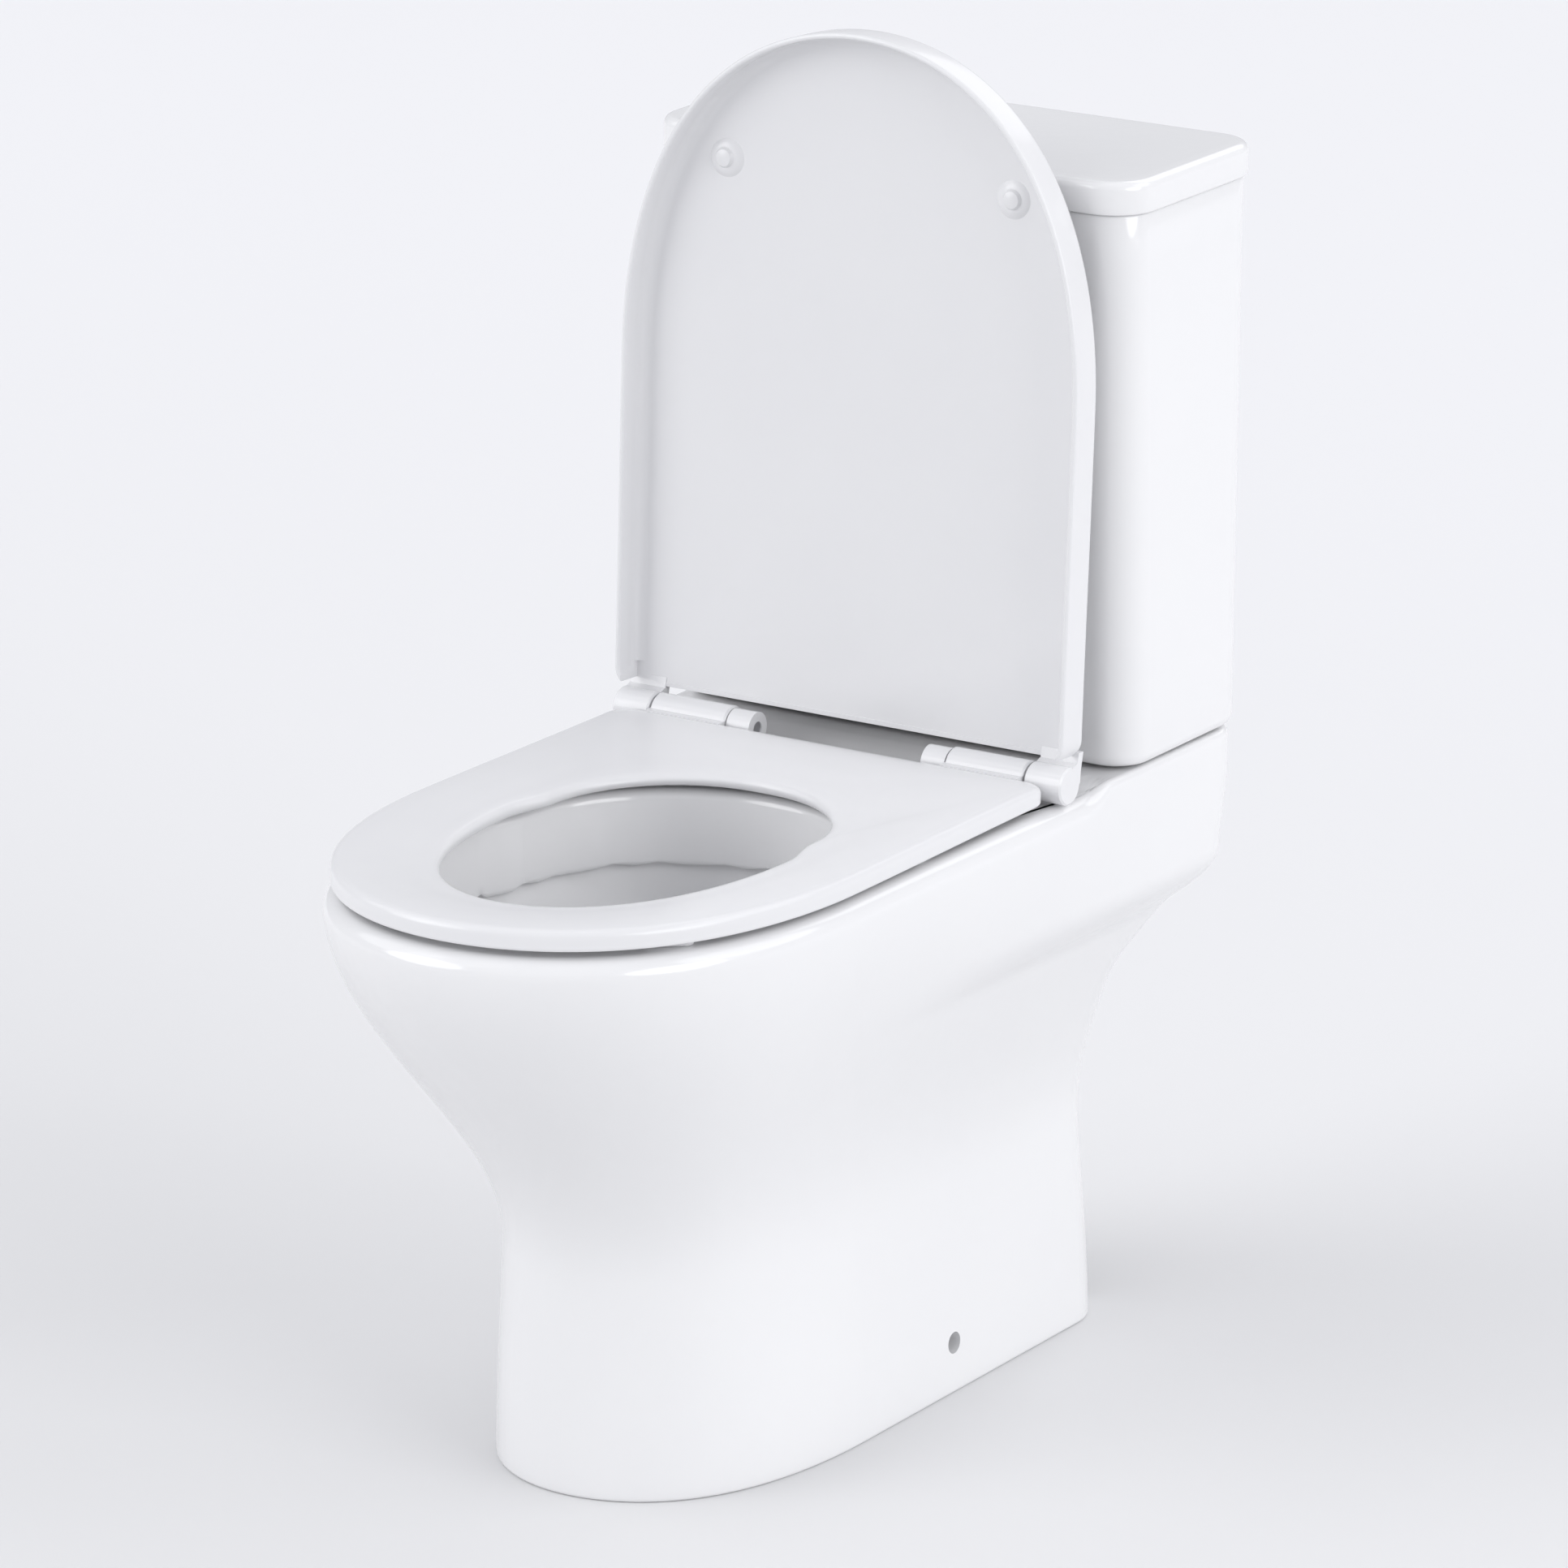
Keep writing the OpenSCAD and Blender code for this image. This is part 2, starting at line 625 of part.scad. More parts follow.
module coupling_gasket() color(grey_rubber)
    translate([0, flush_y, recess_z]) ring(gasket_r - 1, 41, cistern_z - recess_z);
module at_bolts() for (s = [-1, 1]) translate([s * bolt_x, flush_y, 0]) children();
under_shelf = deck_z - deck_t;
module coupling_bolts() color(steel) at_bolts() {
    translate([0, 0, under_shelf - 22]) cylinder(r = 4, h = floor_z + 4 - under_shelf + 22);
    translate([0, 0, floor_z + 4]) cylinder(r = 9, h = 4);
}
module coupling_rubbers() color(grey_rubber) at_bolts() translate([0, 0, floor_z]) ring(11, 4, 4);
module coupling_washers() color(steel) at_bolts()
    translate([0, 0, under_shelf - 2]) ring(10, 4, 2);
module coupling_wing_nuts() color(steel) at_bolts()
    translate([0, 0, under_shelf - 13]) rotate([0, 0, 90]) wing_nut(4, 7, 11, 30);

// ---- Seat ----

axis_gap = 15;
seat_z = deck_z + seat_gap;
seat_back = hinge_y - axis_gap;
seat_front = front_y + 7;
knuckle_r = 12.8;
pin_r = 5;
run_fit = 0.08;
damper_r = 9;
post_in = seat_bolts / 2 - 9.5;
post_out = seat_bolts / 2 + 8.5;
lid_w = seat_w + 14;
seat_knuckle = [post_out + 1, lid_w / 2 - 31];
lid_knuckle = [seat_knuckle[1] + 1.5, lid_w / 2 - 1];
// Section of the ring: across from 0 outside to 1 inside, and the height above its underside
ring_section = [
    [0.03, 0], [0, 1.5], [0, 0.66 * seat_t], [0.012, 0.84 * seat_t], [0.04, 0.96 * seat_t],
    [0.10, 1.02 * seat_t], [0.30, 1.02 * seat_t], [0.55, 0.92 * seat_t], [0.80, 0.76 * seat_t],
    [0.93, 0.64 * seat_t], [0.99, 0.45 * seat_t], [1, 0.2 * seat_t], [0.97, 0]
];
function seat_outline(d) = plan(
    seat_w / 2 - d, seat_w / 2 - 2 - d, seat_front + d, hinge_y - 252,
    seat_back, 12, 0.10
);
opening_plan = plan(
    opening_w / 2, opening_w / 2 - 8, seat_front + ring_front, hinge_y - 235,
    hinge_y - 100, opening_w / 2 - 10, 0.06
);
module knuckles(span, r_out, r_in) {
    for (s = [-1, 1]) translate([0, hinge_y, hinge_z]) difference() {
        rod_x(r_out, s > 0 ? span[0] : -span[1], span[1] - span[0]);
        rod_x(r_in, s > 0 ? span[0] - 1 : -span[1] - 1, span[1] - span[0] + 2);
    }
}
module seat_ring() color(white_plastic) {
    outer = seat_outline(0);
    difference() {
        union() {
            hoop([for (j = [len(outer) - 1 : -1 : 0]) [for (s = ring_section)
                let (q = mix(outer[j], opening_plan[j], s[0])) [q[0], q[1], seat_z + s[1]]]]);
            for (s = [-1, 1])
                translate([s > 0 ? seat_knuckle[0] : -seat_knuckle[1], hinge_y - axis_gap - 3, seat_z + 2])
                    cube([seat_knuckle[1] - seat_knuckle[0], axis_gap + 3, seat_t - 2]);
            for (s = [-1, 1]) translate([0, hinge_y, hinge_z])
                rod_x(knuckle_r, s > 0 ? seat_knuckle[0] : -seat_knuckle[1], seat_knuckle[1] - seat_knuckle[0]);
        }
        translate([0, hinge_y, hinge_z]) for (s = [-1, 1])
            rod_x(damper_r, s > 0 ? seat_knuckle[0] - 1 : -seat_knuckle[1] - 1, seat_knuckle[1] - seat_knuckle[0] + 2);
    }
}
buffer_l = 34;
module seat_buffers() color(white_plastic) {
    for (s = [-1, 1]) {
        translate([s * (seat_w / 2 - 53), seat_front + 86, deck_z]) rotate([0, 0, s * 38]) buffer();
        translate([s * (seat_w / 2 - 29), hinge_y - 150, deck_z]) buffer();
    }
}
module buffer() {
    translate([-buffer_l / 2 + 6, -6, 0]) cube([buffer_l - 12, 12, seat_gap]);
    for (x = [-1, 1]) translate([x * (buffer_l / 2 - 6), 0, 0]) cylinder(r = 6, h = seat_gap);
}

// ---- Lid ----

lid_front = seat_front - 6;
lid_low = deck_z + 2.5;
lid_high = hinge_z + 17;
lid_inside = hinge_z + 10;
crown = 4;
lid_skin_steps = 5;
function lid_plan(d) = plan(
    lid_w / 2 - d, lid_w / 2 - 1 - d, lid_front + d, hinge_y - 252,
    seat_back - min(d, 3), 14 - min(d, 8), 0.10
);
function toward(p, t) = [for (q = p) mix([0, hinge_y - 240], q, t)];
// The lid lying closed over the seat
module lid_closed() {
    w = seat_lid_wall;
    difference() {
        union() {
            difference() {
                loft(concat(
                    [for (i = [1 : lid_skin_steps])
                        let (t = 0.94 * i / lid_skin_steps)
                        at(toward(lid_plan(w + 1), t), lid_inside + crown * (1 - t * t))],
                    [at(lid_plan(w + 3), lid_inside - 0.5), at(lid_plan(w), lid_inside - 4)],
                    [at(lid_plan(w), lid_low + 0.8), at(lid_plan(w - 1), lid_low), at(lid_plan(1), lid_low)],
                    [at(lid_plan(0), lid_low + 0.8), at(lid_plan(0), lid_high - 6)],
                    [for (a = [30 : 30 : 90])
                        at(lid_plan(6 * (1 - cos(a))), lid_high - 6 + 6 * sin(a))],
                    [for (i = [lid_skin_steps : -1 : 1])
                        let (t = 0.94 * i / lid_skin_steps)
                        at(toward(lid_plan(7), t), lid_high + crown * (1 - t * t) + 0.1)]
                ));
                // The back of the wall is open, where the seat's arms pass
                translate([-seat_w / 2 - 1, hinge_y - 30, lid_low - 5])
                    cube([seat_w + 2, 30, lid_inside - lid_low + 4.5]);
            }
            // Arms to the knuckles
            for (s = [-1, 1]) translate([s > 0 ? lid_knuckle[0] : -lid_knuckle[1], hinge_y, hinge_z])
                rotate([90, 0, 90]) linear_extrude(lid_knuckle[1] - lid_knuckle[0]) polygon([
                    [0, 12.6], [-8, 13], [-21, 15.5], [-21, 9.8], [-14, 8.6], [-12, 3], [0, -2]
                ]);
            for (s = [-1, 1]) translate([0, hinge_y, hinge_z])
                rod_x(knuckle_r, s > 0 ? lid_knuckle[0] : -lid_knuckle[1], lid_knuckle[1] - lid_knuckle[0]);
        }
        // Shallow seats that the buffers are pressed into
        at_lid_buffers() cylinder(r = lid_buffer_r, h = lid_buffer_h);
        // Blind bores for the hinge pins
        translate([0, hinge_y, hinge_z]) for (s = [-1, 1])
            rod_x(pin_r + run_fit, s > 0 ? lid_knuckle[0] - 1 : -lid_knuckle[1] + 4, lid_knuckle[1] - lid_knuckle[0] - 3);
    }
}
lid_buffer_r = 9;
lid_buffer_z = seat_z + 1.02 * seat_t + 0.4;
lid_buffer_h = lid_inside + 1.5 - lid_buffer_z;
module at_lid_buffers()
    for (s = [-1, 1]) translate([s * (seat_w / 2 - 59), seat_front + 92, lid_buffer_z]) children();
lid_angle = 90 + lid_lean;
// Turns what lies closed up about the hinge axis
module raised() {
    translate([0, hinge_y, hinge_z]) rotate([-lid_angle, 0, 0]) translate([0, -hinge_y, -hinge_z])
        children();
}
module seat_lid() color(white_plastic) raised() lid_closed();
module lid_buffers() color(white_plastic) raised() at_lid_buffers()
    cylinder(r = lid_buffer_r, h = lid_buffer_h);

// ---- Hinges ----

stud_in_post = 8;
module hinge_post(s) {
    difference() {
        union() {
            translate([s * seat_bolts / 2, hinge_y, deck_z]) cylinder(r = 9, h = hinge_h);
            translate([s * seat_bolts / 2, hinge_y, deck_z]) cylinder(r = 15, h = 1);
            translate([0, hinge_y, hinge_z])
                rod_x(11.5, s > 0 ? post_in : -post_out, post_out - post_in);
        }
        translate([s * seat_bolts / 2, hinge_y, deck_z - 1]) cylinder(r = 4, h = stud_in_post + 1);
        translate([0, hinge_y, hinge_z])
            rod_x(pin_r, s > 0 ? post_in - 1 : -post_out - 1, post_out - post_in + 2);
    }
}
module hinge_post_left() color(white_plastic) hinge_post(-1);
module hinge_post_right() color(white_plastic) hinge_post(1);
pin_span = [post_in + 1, lid_knuckle[1] - 6];
module hinge_pin(s) {
    translate([0, hinge_y, hinge_z])
        rod_x(pin_r, s > 0 ? pin_span[0] : -pin_span[1], pin_span[1] - pin_span[0]);
}
module hinge_pin_left() color(steel) hinge_pin(-1);
module hinge_pin_right() color(steel) hinge_pin(1);
module hinge_damper(s) {
    translate([0, hinge_y, hinge_z]) difference() {
        rod_x(damper_r, s > 0 ? seat_knuckle[0] : -seat_knuckle[1], seat_knuckle[1] - seat_knuckle[0]);
        rod_x(pin_r + run_fit, s > 0 ? seat_knuckle[0] - 1 : -seat_knuckle[1] - 1, seat_knuckle[1] - seat_knuckle[0] + 2);
    }
}
module hinge_damper_left() color(valve_white) hinge_damper(-1);
module hinge_damper_right() color(valve_white) hinge_damper(1);
module at_studs() for (s = [-1, 1]) translate([s * seat_bolts / 2, hinge_y, 0]) children();
module hinge_studs() color(steel) at_studs()
    translate([0, 0, under_shelf - 30]) cylinder(r = 4, h = deck_z + stud_in_post - under_shelf + 30);
module hinge_cone_washers() color(grey_rubber) at_studs()
    translate([0, 0, under_shelf - 6]) difference() {
        union() {
            cylinder(r = 13, h = 6);
            translate([0, 0, 6]) cylinder(r1 = 7, r2 = 5.5, h = 6);
        }
        translate([0, 0, -1]) cylinder(r = 4, h = 20);
    }
module hinge_wing_nuts() color(valve_white) at_studs()
    translate([0, 0, under_shelf - 18]) wing_nut(4, 9, 12, 34);

pan();
cistern();
cistern_lid();
button_bezel();
button_nut();
full_flush_button();
half_flush_button();
full_push_rod();
half_push_rod();
flush_valve_base();
flush_valve_cage();
flush_valve_head();
full_flush_plunger();
half_flush_plunger();
overflow_tube();
flush_float();
flush_seal();
flush_valve_washer();
flush_valve_nut();
fill_valve_riser();
fill_valve_head();
fill_valve_lever();
fill_valve_float();
fill_valve_washer();
fill_valve_nut();
coupling_gasket();
coupling_bolts();
coupling_rubbers();
coupling_washers();
coupling_wing_nuts();
seat_ring();
seat_buffers();
seat_lid();
lid_buffers();
hinge_post_left();
hinge_post_right();
hinge_pin_left();
hinge_pin_right();
hinge_damper_left();
hinge_damper_right();
hinge_cone_washers();
hinge_wing_nuts();
hinge_studs();
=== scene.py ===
import math

import bpy
import numpy as np
from mathutils import Matrix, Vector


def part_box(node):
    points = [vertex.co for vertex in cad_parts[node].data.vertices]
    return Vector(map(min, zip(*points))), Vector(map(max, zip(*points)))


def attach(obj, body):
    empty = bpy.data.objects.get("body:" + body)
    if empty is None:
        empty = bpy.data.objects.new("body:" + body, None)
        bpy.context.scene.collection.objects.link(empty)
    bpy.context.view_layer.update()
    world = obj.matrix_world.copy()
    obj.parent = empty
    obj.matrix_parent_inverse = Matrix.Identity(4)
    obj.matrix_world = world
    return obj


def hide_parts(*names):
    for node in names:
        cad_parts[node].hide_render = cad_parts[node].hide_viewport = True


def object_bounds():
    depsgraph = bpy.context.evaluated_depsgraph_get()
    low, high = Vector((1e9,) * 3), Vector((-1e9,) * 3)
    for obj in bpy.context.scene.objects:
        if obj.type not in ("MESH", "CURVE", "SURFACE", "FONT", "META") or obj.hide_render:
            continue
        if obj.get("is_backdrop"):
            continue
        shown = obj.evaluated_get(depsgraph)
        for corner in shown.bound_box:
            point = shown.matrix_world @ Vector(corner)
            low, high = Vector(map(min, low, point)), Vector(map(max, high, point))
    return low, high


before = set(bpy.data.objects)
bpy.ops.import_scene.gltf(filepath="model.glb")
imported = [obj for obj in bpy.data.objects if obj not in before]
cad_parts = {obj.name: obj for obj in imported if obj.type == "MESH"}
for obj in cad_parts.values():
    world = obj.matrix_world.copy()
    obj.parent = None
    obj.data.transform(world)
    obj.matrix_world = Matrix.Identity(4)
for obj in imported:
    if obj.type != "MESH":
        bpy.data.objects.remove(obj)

cad_low, cad_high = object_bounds()
mm = 0.001

# ---- Camera ----
# A long lens from well above the rim, to the right of the front. The aim is how far the
# middle of the view lies to the right of and above the middle of the foot.

camera_azimuth = 33.0
camera_elevation = 16.9
camera_distance = 6.2
camera_lens = 213.0
aim_right = 31.0 * mm
aim_up = 411.0 * mm


def looking(azimuth, elevation):
    """Right, up and forward of a view, as columns.
    Forward falls by elevation and turns by azimuth from +Y to -X."""
    a, e = math.radians(azimuth), math.radians(elevation)
    ahead = np.array([-math.sin(a) * math.cos(e), math.cos(a) * math.cos(e), -math.sin(e)])
    aside = np.array([math.cos(a), math.sin(a), 0.0])
    return np.stack([aside, np.cross(aside, ahead), ahead], axis=1)


axes = looking(camera_azimuth, camera_elevation)
camera = bpy.data.objects.new("camera", bpy.data.cameras.new("camera"))
camera.data.lens = camera_lens
camera.data.clip_end = 60.0
placed = np.eye(4)
placed[:3, :3] = axes * [1, 1, -1]
placed[:3, 3] = axes @ [aim_right, aim_up, -camera_distance]
camera.matrix_world = Matrix(placed.tolist())
bpy.context.scene.collection.objects.link(camera)
bpy.context.scene.camera = camera

# ---- Studio ----
# Pale floor with no horizon in view, painted paler and bluer far behind the toilet as painted light for a
# backdrop's lit sweep, an even pale room, broad soft suns from the front left, the right and behind, and two
# long softboxes that show in the glaze.

floor_radius = 14.0
# Floor colours: darker in front of the toilet, paler and bluer behind it, a painted falloff of light rather
# than the floor's own paint.
floor_shaded_near = (0.76, 0.76, 0.765, 1)
floor_lit_far = (0.82, 0.82, 0.835, 1)
room_colour = (0.94, 0.95, 1.0, 1)
room_strength = 0.64
floor_turn_near, floor_turn_far = -0.8, 3.0
sun_spread, sun_away = 40, 4.0
lit_height = 0.45
suns = (
    ("front_left_low", 0.85, -40, 20),
    ("front_left_high", 0.15, -40, 50),
    ("left", 0.30, -75, 40),
    ("right_low", 1.0, 80, 18),
    ("back_right", 0.47, 120, 40),
    ("back", 0.40, 180, 40),
    ("top", 0.06, 0, 85),
)
softbox_power, softbox_away = 1.5, 2.6
softboxes = (("right_softbox", 96, 24, 0.7, 2.2), ("left_softbox", -38, 22, 0.4, 2.0))


class Wire:
    """An output of a material's node. Arithmetic on it adds Math nodes to the same material."""

    def __init__(self, tree, socket):
        self.tree = tree
        self.socket = socket

    def make(self, kind, settings, sockets, out=0):
        """Adds one node: its settings first, ramp stops among them, then values or links for its sockets."""
        node = self.tree.nodes.new(kind)
        for name, value in settings.items():
            if name == "stops":
                for i, (place, colour) in enumerate(value):
                    stop = node.color_ramp.elements[i] if i < 2 else node.color_ramp.elements.new(place)
                    stop.position = place
                    stop.color = colour
            else:
                setattr(node, name, value)
        for name, value in sockets.items():
            if isinstance(value, Wire):
                self.tree.links.new(value.socket, node.inputs[name])
            else:
                node.inputs[name].default_value = value
        return Wire(self.tree, node.outputs[out])

    def sum_of(self, operation, a, b):
        return self.make("ShaderNodeMath", {"operation": operation}, {0: a, 1: b})

    def __add__(self, other):
        return self.sum_of("ADD", self, other)

    def __sub__(self, other):
        return self.sum_of("SUBTRACT", self, other)

    def __rsub__(self, other):
        return self.sum_of("SUBTRACT", other, self)

    def __mul__(self, other):
        return self.sum_of("MULTIPLY", self, other)

    __radd__ = __add__
    __rmul__ = __mul__

    def noise(self, scale, detail=2.0, stretch=(1, 1, 1)):
        """Cloudy pattern from 0 to 1 on these coordinates: scale per metre, stretched if asked."""
        moved = self.make("ShaderNodeMapping", {}, {"Vector": self, "Scale": stretch})
        return self.make("ShaderNodeTexNoise", {}, {"Vector": moved, "Scale": scale, "Detail": detail})

    def between(self, a, b):
        """Colour that goes from a to b as this value goes from 0 to 1."""
        return self.make("ShaderNodeMix", {"data_type": "RGBA"}, {0: self, 6: a, 7: b}, 2)

    def bump(self, strength, distance):
        """Normal that treats this value as a height, distance metres at 1."""
        return self.make("ShaderNodeBump", {}, {"Height": self, "Strength": strength, "Distance": distance})


def finish_of(name, settings, surface):
    """A material: settings for the shader's own sockets, surface(place) for those that vary."""
    made = bpy.data.materials.new(name)
    made.use_nodes = True
    tree = made.node_tree
    shader = tree.nodes["Principled BSDF"]
    place = Wire(tree, tree.nodes.new("ShaderNodeTexCoord").outputs["Object"])
    for socket, value in settings.items():
        shader.inputs[socket].default_value = value
    for socket, wire in surface(place).items():
        tree.links.new(wire.socket, shader.inputs[socket])
    return made


def floor_surface(place):
    """Floor colour with painted light: darker near the toilet, paler and bluer with distance behind it as
    painted light for a backdrop's lit sweep, with a faint mottle.
    """
    along = place.make("ShaderNodeSeparateXYZ", {}, {0: place}, 1)
    reach = {0: along, 1: floor_turn_near, 2: floor_turn_far}
    share = along.make("ShaderNodeMapRange", {"interpolation_type": "SMOOTHSTEP"}, reach)
    return {"Base Color": share.between(floor_shaded_near, floor_lit_far), "Roughness": place.noise(6.0) * 0.1 + 0.75}


round_floor = np.linspace(0, 2 * math.pi, 96, endpoint=False)
floor_edge = floor_radius * np.stack([np.cos(round_floor), np.sin(round_floor), 0 * round_floor], axis=1)
floor = bpy.data.objects.new("floor", bpy.data.meshes.new("floor"))
floor.data.from_pydata(floor_edge.tolist(), [], [list(range(len(floor_edge)))])
floor.data.materials.append(finish_of("floor_with_painted_light", {"Specular IOR Level": 0.15}, floor_surface))
bpy.context.scene.collection.objects.link(floor)
floor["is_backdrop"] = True

room = bpy.data.worlds.new("room")
room.use_nodes = True
room.node_tree.nodes["Background"].inputs[0].default_value = room_colour
room.node_tree.nodes["Background"].inputs[1].default_value = room_strength
bpy.context.scene.world = room
bpy.context.scene.view_settings.view_transform = "Standard"


def light(name, kind, power, azimuth, elevation, away):
    """A light away metres from the toilet's middle, on the side the azimuth and elevation name, facing it."""
    lamp = bpy.data.lights.new(name, kind)
    lamp.energy = power
    side = looking(azimuth, elevation)
    matrix = np.eye(4)
    matrix[:3, :3] = side * [1, 1, -1]
    matrix[:3, 3] = [0, 0, lit_height] - away * side[:, 2]
    made = bpy.data.objects.new(name, lamp)
    made.matrix_world = Matrix(matrix.tolist())
    made.visible_camera = False
    bpy.context.scene.collection.objects.link(made)
    return lamp


for name, power, azimuth, elevation in suns:
    light(name, "SUN", power, azimuth, elevation, sun_away).angle = math.radians(sun_spread)
for name, azimuth, elevation, width, height in softboxes:
    softbox = light(name, "AREA", softbox_power, azimuth, elevation, softbox_away)
    softbox.shape = "RECTANGLE"
    softbox.size = width
    softbox.size_y = height

# ---- Pan ----
# One vitreous china casting: the skirted pedestal with its waist, the rim, the bowl, the
# shelf for the cistern, the trap and the outlet spigot, slip-cast hollow and glazed white.
# It stands on its foot and is screwed to the floor through the two side holes.

pan_low, pan_high = (np.array(corner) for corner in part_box("pan"))
deck_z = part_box("hinge_post_left")[0].z
hinge_low, hinge_high = (np.array(corner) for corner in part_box("hinge_pin_right"))
hinge_y, hinge_z = (hinge_low + hinge_high)[1:] / 2
bezel_low, bezel_high = (np.array(corner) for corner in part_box("button_bezel"))
flush_y = (bezel_low[1] + bezel_high[1]) / 2
cistern_low, cistern_high = (np.array(corner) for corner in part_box("cistern"))

front_y, back_y = pan_low[1], pan_high[1]
shelf_w, shelf_z = pan_high[0] - pan_low[0], pan_high[2]
rim_w = 350 * mm
foot_w, waist_w, waist_z = 232 * mm, 222 * mm, 190 * mm
foot_front = front_y + 142 * mm
foot_back = cad_high.y - 63 * mm
flare_z = 148 * mm
clay = 12 * mm
rim_r, shelf_r, foot_r = 13 * mm, 5 * mm, 3 * mm
overhang_h = 80 * mm
overhang_z = deck_z - 78 * mm - overhang_h
bowl_w, bowl_front, bowl_back = 252 * mm, front_y + 46 * mm, hinge_y - 92 * mm
bowl_edge_r = 7 * mm
rim_wall, rim_lip, rim_ledge = 52 * mm, 4 * mm, 7 * mm
wash_holes = 26
sump_y, sump_z, sump_r = -36 * mm, 168 * mm, 44 * mm
well_top, dish_h = sump_z + 50 * mm, 26 * mm
sump_focus = [0, sump_y - 54 * mm]
belly = 0.3
trap_r = 38 * mm
outlet_z, outlet_r, spigot_len = 185 * mm, 51 * mm, 52 * mm
fill_low, fill_high = (np.array(corner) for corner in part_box("fill_valve_washer"))
fill_x, fill_y = (fill_low + fill_high)[:2] / 2
fill_r, inlet_r, gasket_r = 22 * mm, 34 * mm, 56 * mm
bolt_x, bolt_hole = 76 * mm, 5.5 * mm
seat_bolt_x, seat_bolt_r = 77.5 * mm, 7 * mm
side_hole_r, side_hole_z = 7.5 * mm, 36 * mm
side_hole_y = foot_back - 201 * mm
through = 200 * mm
back_n, corner_n, side_n, nose_n = 14, 12, 34, 56
glaze_white = (0.83, 0.83, 0.835, 1)
glaze_shade = (0.80, 0.80, 0.81, 1)


def ease(t):
    """Smooth step: 3t squared less 2t cubed, held at 0 and 1 outside."""
    t = np.clip(t, 0, 1)
    return t * t * (3 - 2 * t)


def mix(a, b, t):
    return a + (b - a) * t


def d_outline(w, wb, front, mid, back, r, full):
    """Closed D outlines seen from above, as [levels, points, 2], anticlockwise from the middle of the back.
    Half of one is a back edge, a quarter circle of radius r, a side that eases from wb out to w, and a nose,
    x = w cos a (1 + full sin^2 a) and y from mid to front with sin a; the other half mirrors it.
    Each size is one number, or a row of them with one for each level."""
    sizes = np.broadcast_arrays(*(np.atleast_1d(v) for v in (w, wb, front, mid, back, r, full)))
    w, wb, front, mid, back, r, full = (v[:, None] for v in sizes)
    edge_t = np.linspace(0, 1, back_n, endpoint=False)
    bend = np.radians(np.linspace(90, 0, corner_n, endpoint=False))
    side_t = np.linspace(0, 1, side_n, endpoint=False)
    nose = np.radians(np.linspace(0, 90, nose_n + 1))
    x = [(wb - r) * edge_t, wb - r + r * np.cos(bend), mix(wb, w, ease(side_t)),
         w * np.cos(nose) * (1 + full * np.sin(nose) ** 2)]
    y = [back + 0 * edge_t, back - r + r * np.sin(bend), mix(back - r, mid, side_t),
         mix(mid, front, np.sin(nose))]
    half = np.stack([np.concatenate(x, axis=1), np.concatenate(y, axis=1)], axis=-1)
    return np.concatenate([half * [-1, 1], half[:, -2:0:-1]], axis=1)


def raised_to(outlines, z):
    """Outlines lifted to their heights: z is one number, one for each level, or one for each point."""
    z = np.asarray(z, float)
    z = z[:, None] if z.ndim == 1 else z
    return np.concatenate([outlines, np.broadcast_to(z, outlines.shape[:2])[..., None]], axis=-1)


def pan_outline(z, d):
    """Outline of the pan at height z, drawn in by d: the foot eases to the waist, the waist to the rim, and
    the back swings out below the shelf, each by the smooth step of the height."""
    z, d = np.broadcast_arrays(np.atleast_1d(z), np.atleast_1d(d))
    flare = ease((z - flare_z) / (deck_z - 6 * mm - flare_z))
    spread = ease(1 - z / waist_z)
    swing = ease((z - overhang_z) / overhang_h)
    body = mix(waist_w, foot_w, spread)
    return d_outline(
        mix(body, rim_w, flare) / 2 - d,
        mix(body, shelf_w, np.maximum(flare, swing)) / 2 - d,
        mix(mix(foot_front + 7 * mm, foot_front, spread), front_y, flare) + d,
        mix(foot_front + 188 * mm, hinge_y - 252 * mm, flare),
        mix(mix(foot_back - 10 * mm, foot_back, spread), back_y - 10 * mm, swing)
        + 10 * mm * ease((z - overhang_z - overhang_h) / (50 * mm)) - d,
        mix(40 * mm, 30 * mm, swing) - d,
        mix(0.16, 0.10, flare),
    )


def bowl_outline(d):
    """Outline of the bowl's mouth, let out by d."""
    d = np.atleast_1d(d)
    return d_outline(bowl_w / 2 + d, bowl_w / 2 - 10 * mm + d, bowl_front - d, hinge_y - 245 * mm,
                     bowl_back + d, bowl_w / 2 - 12 * mm + d, 0.06)


def shelf_rise(y):
    """Share of the step up from the deck to the shelf at depth y, in front of the cistern."""
    return ease((y - cistern_low[1] + 26 * mm) / (22 * mm))


def solid(name, rows):
    """Closed mesh through rings [levels, points, 3], each ring joined to the next and both ends closed on a
    middle point. Its faces are turned outwards, which a positive volume shows."""
    levels, points = rows.shape[:2]
    inside = np.arange(levels * points).reshape(levels, points)
    beside = np.roll(inside, -1, axis=1)
    quads = np.stack([inside[:-1], beside[:-1], beside[1:], inside[1:]], axis=-1).reshape(-1, 4)
    low, high = levels * points, levels * points + 1
    fan = np.concatenate([
        np.stack([beside[0], inside[0], np.full(points, low)], axis=-1),
        np.stack([inside[-1], beside[-1], np.full(points, high)], axis=-1),
    ])
    spots = np.concatenate([rows.reshape(-1, 3), rows[:1].mean(axis=1), rows[-1:].mean(axis=1)])
    return meshed(name, spots, quads, fan)


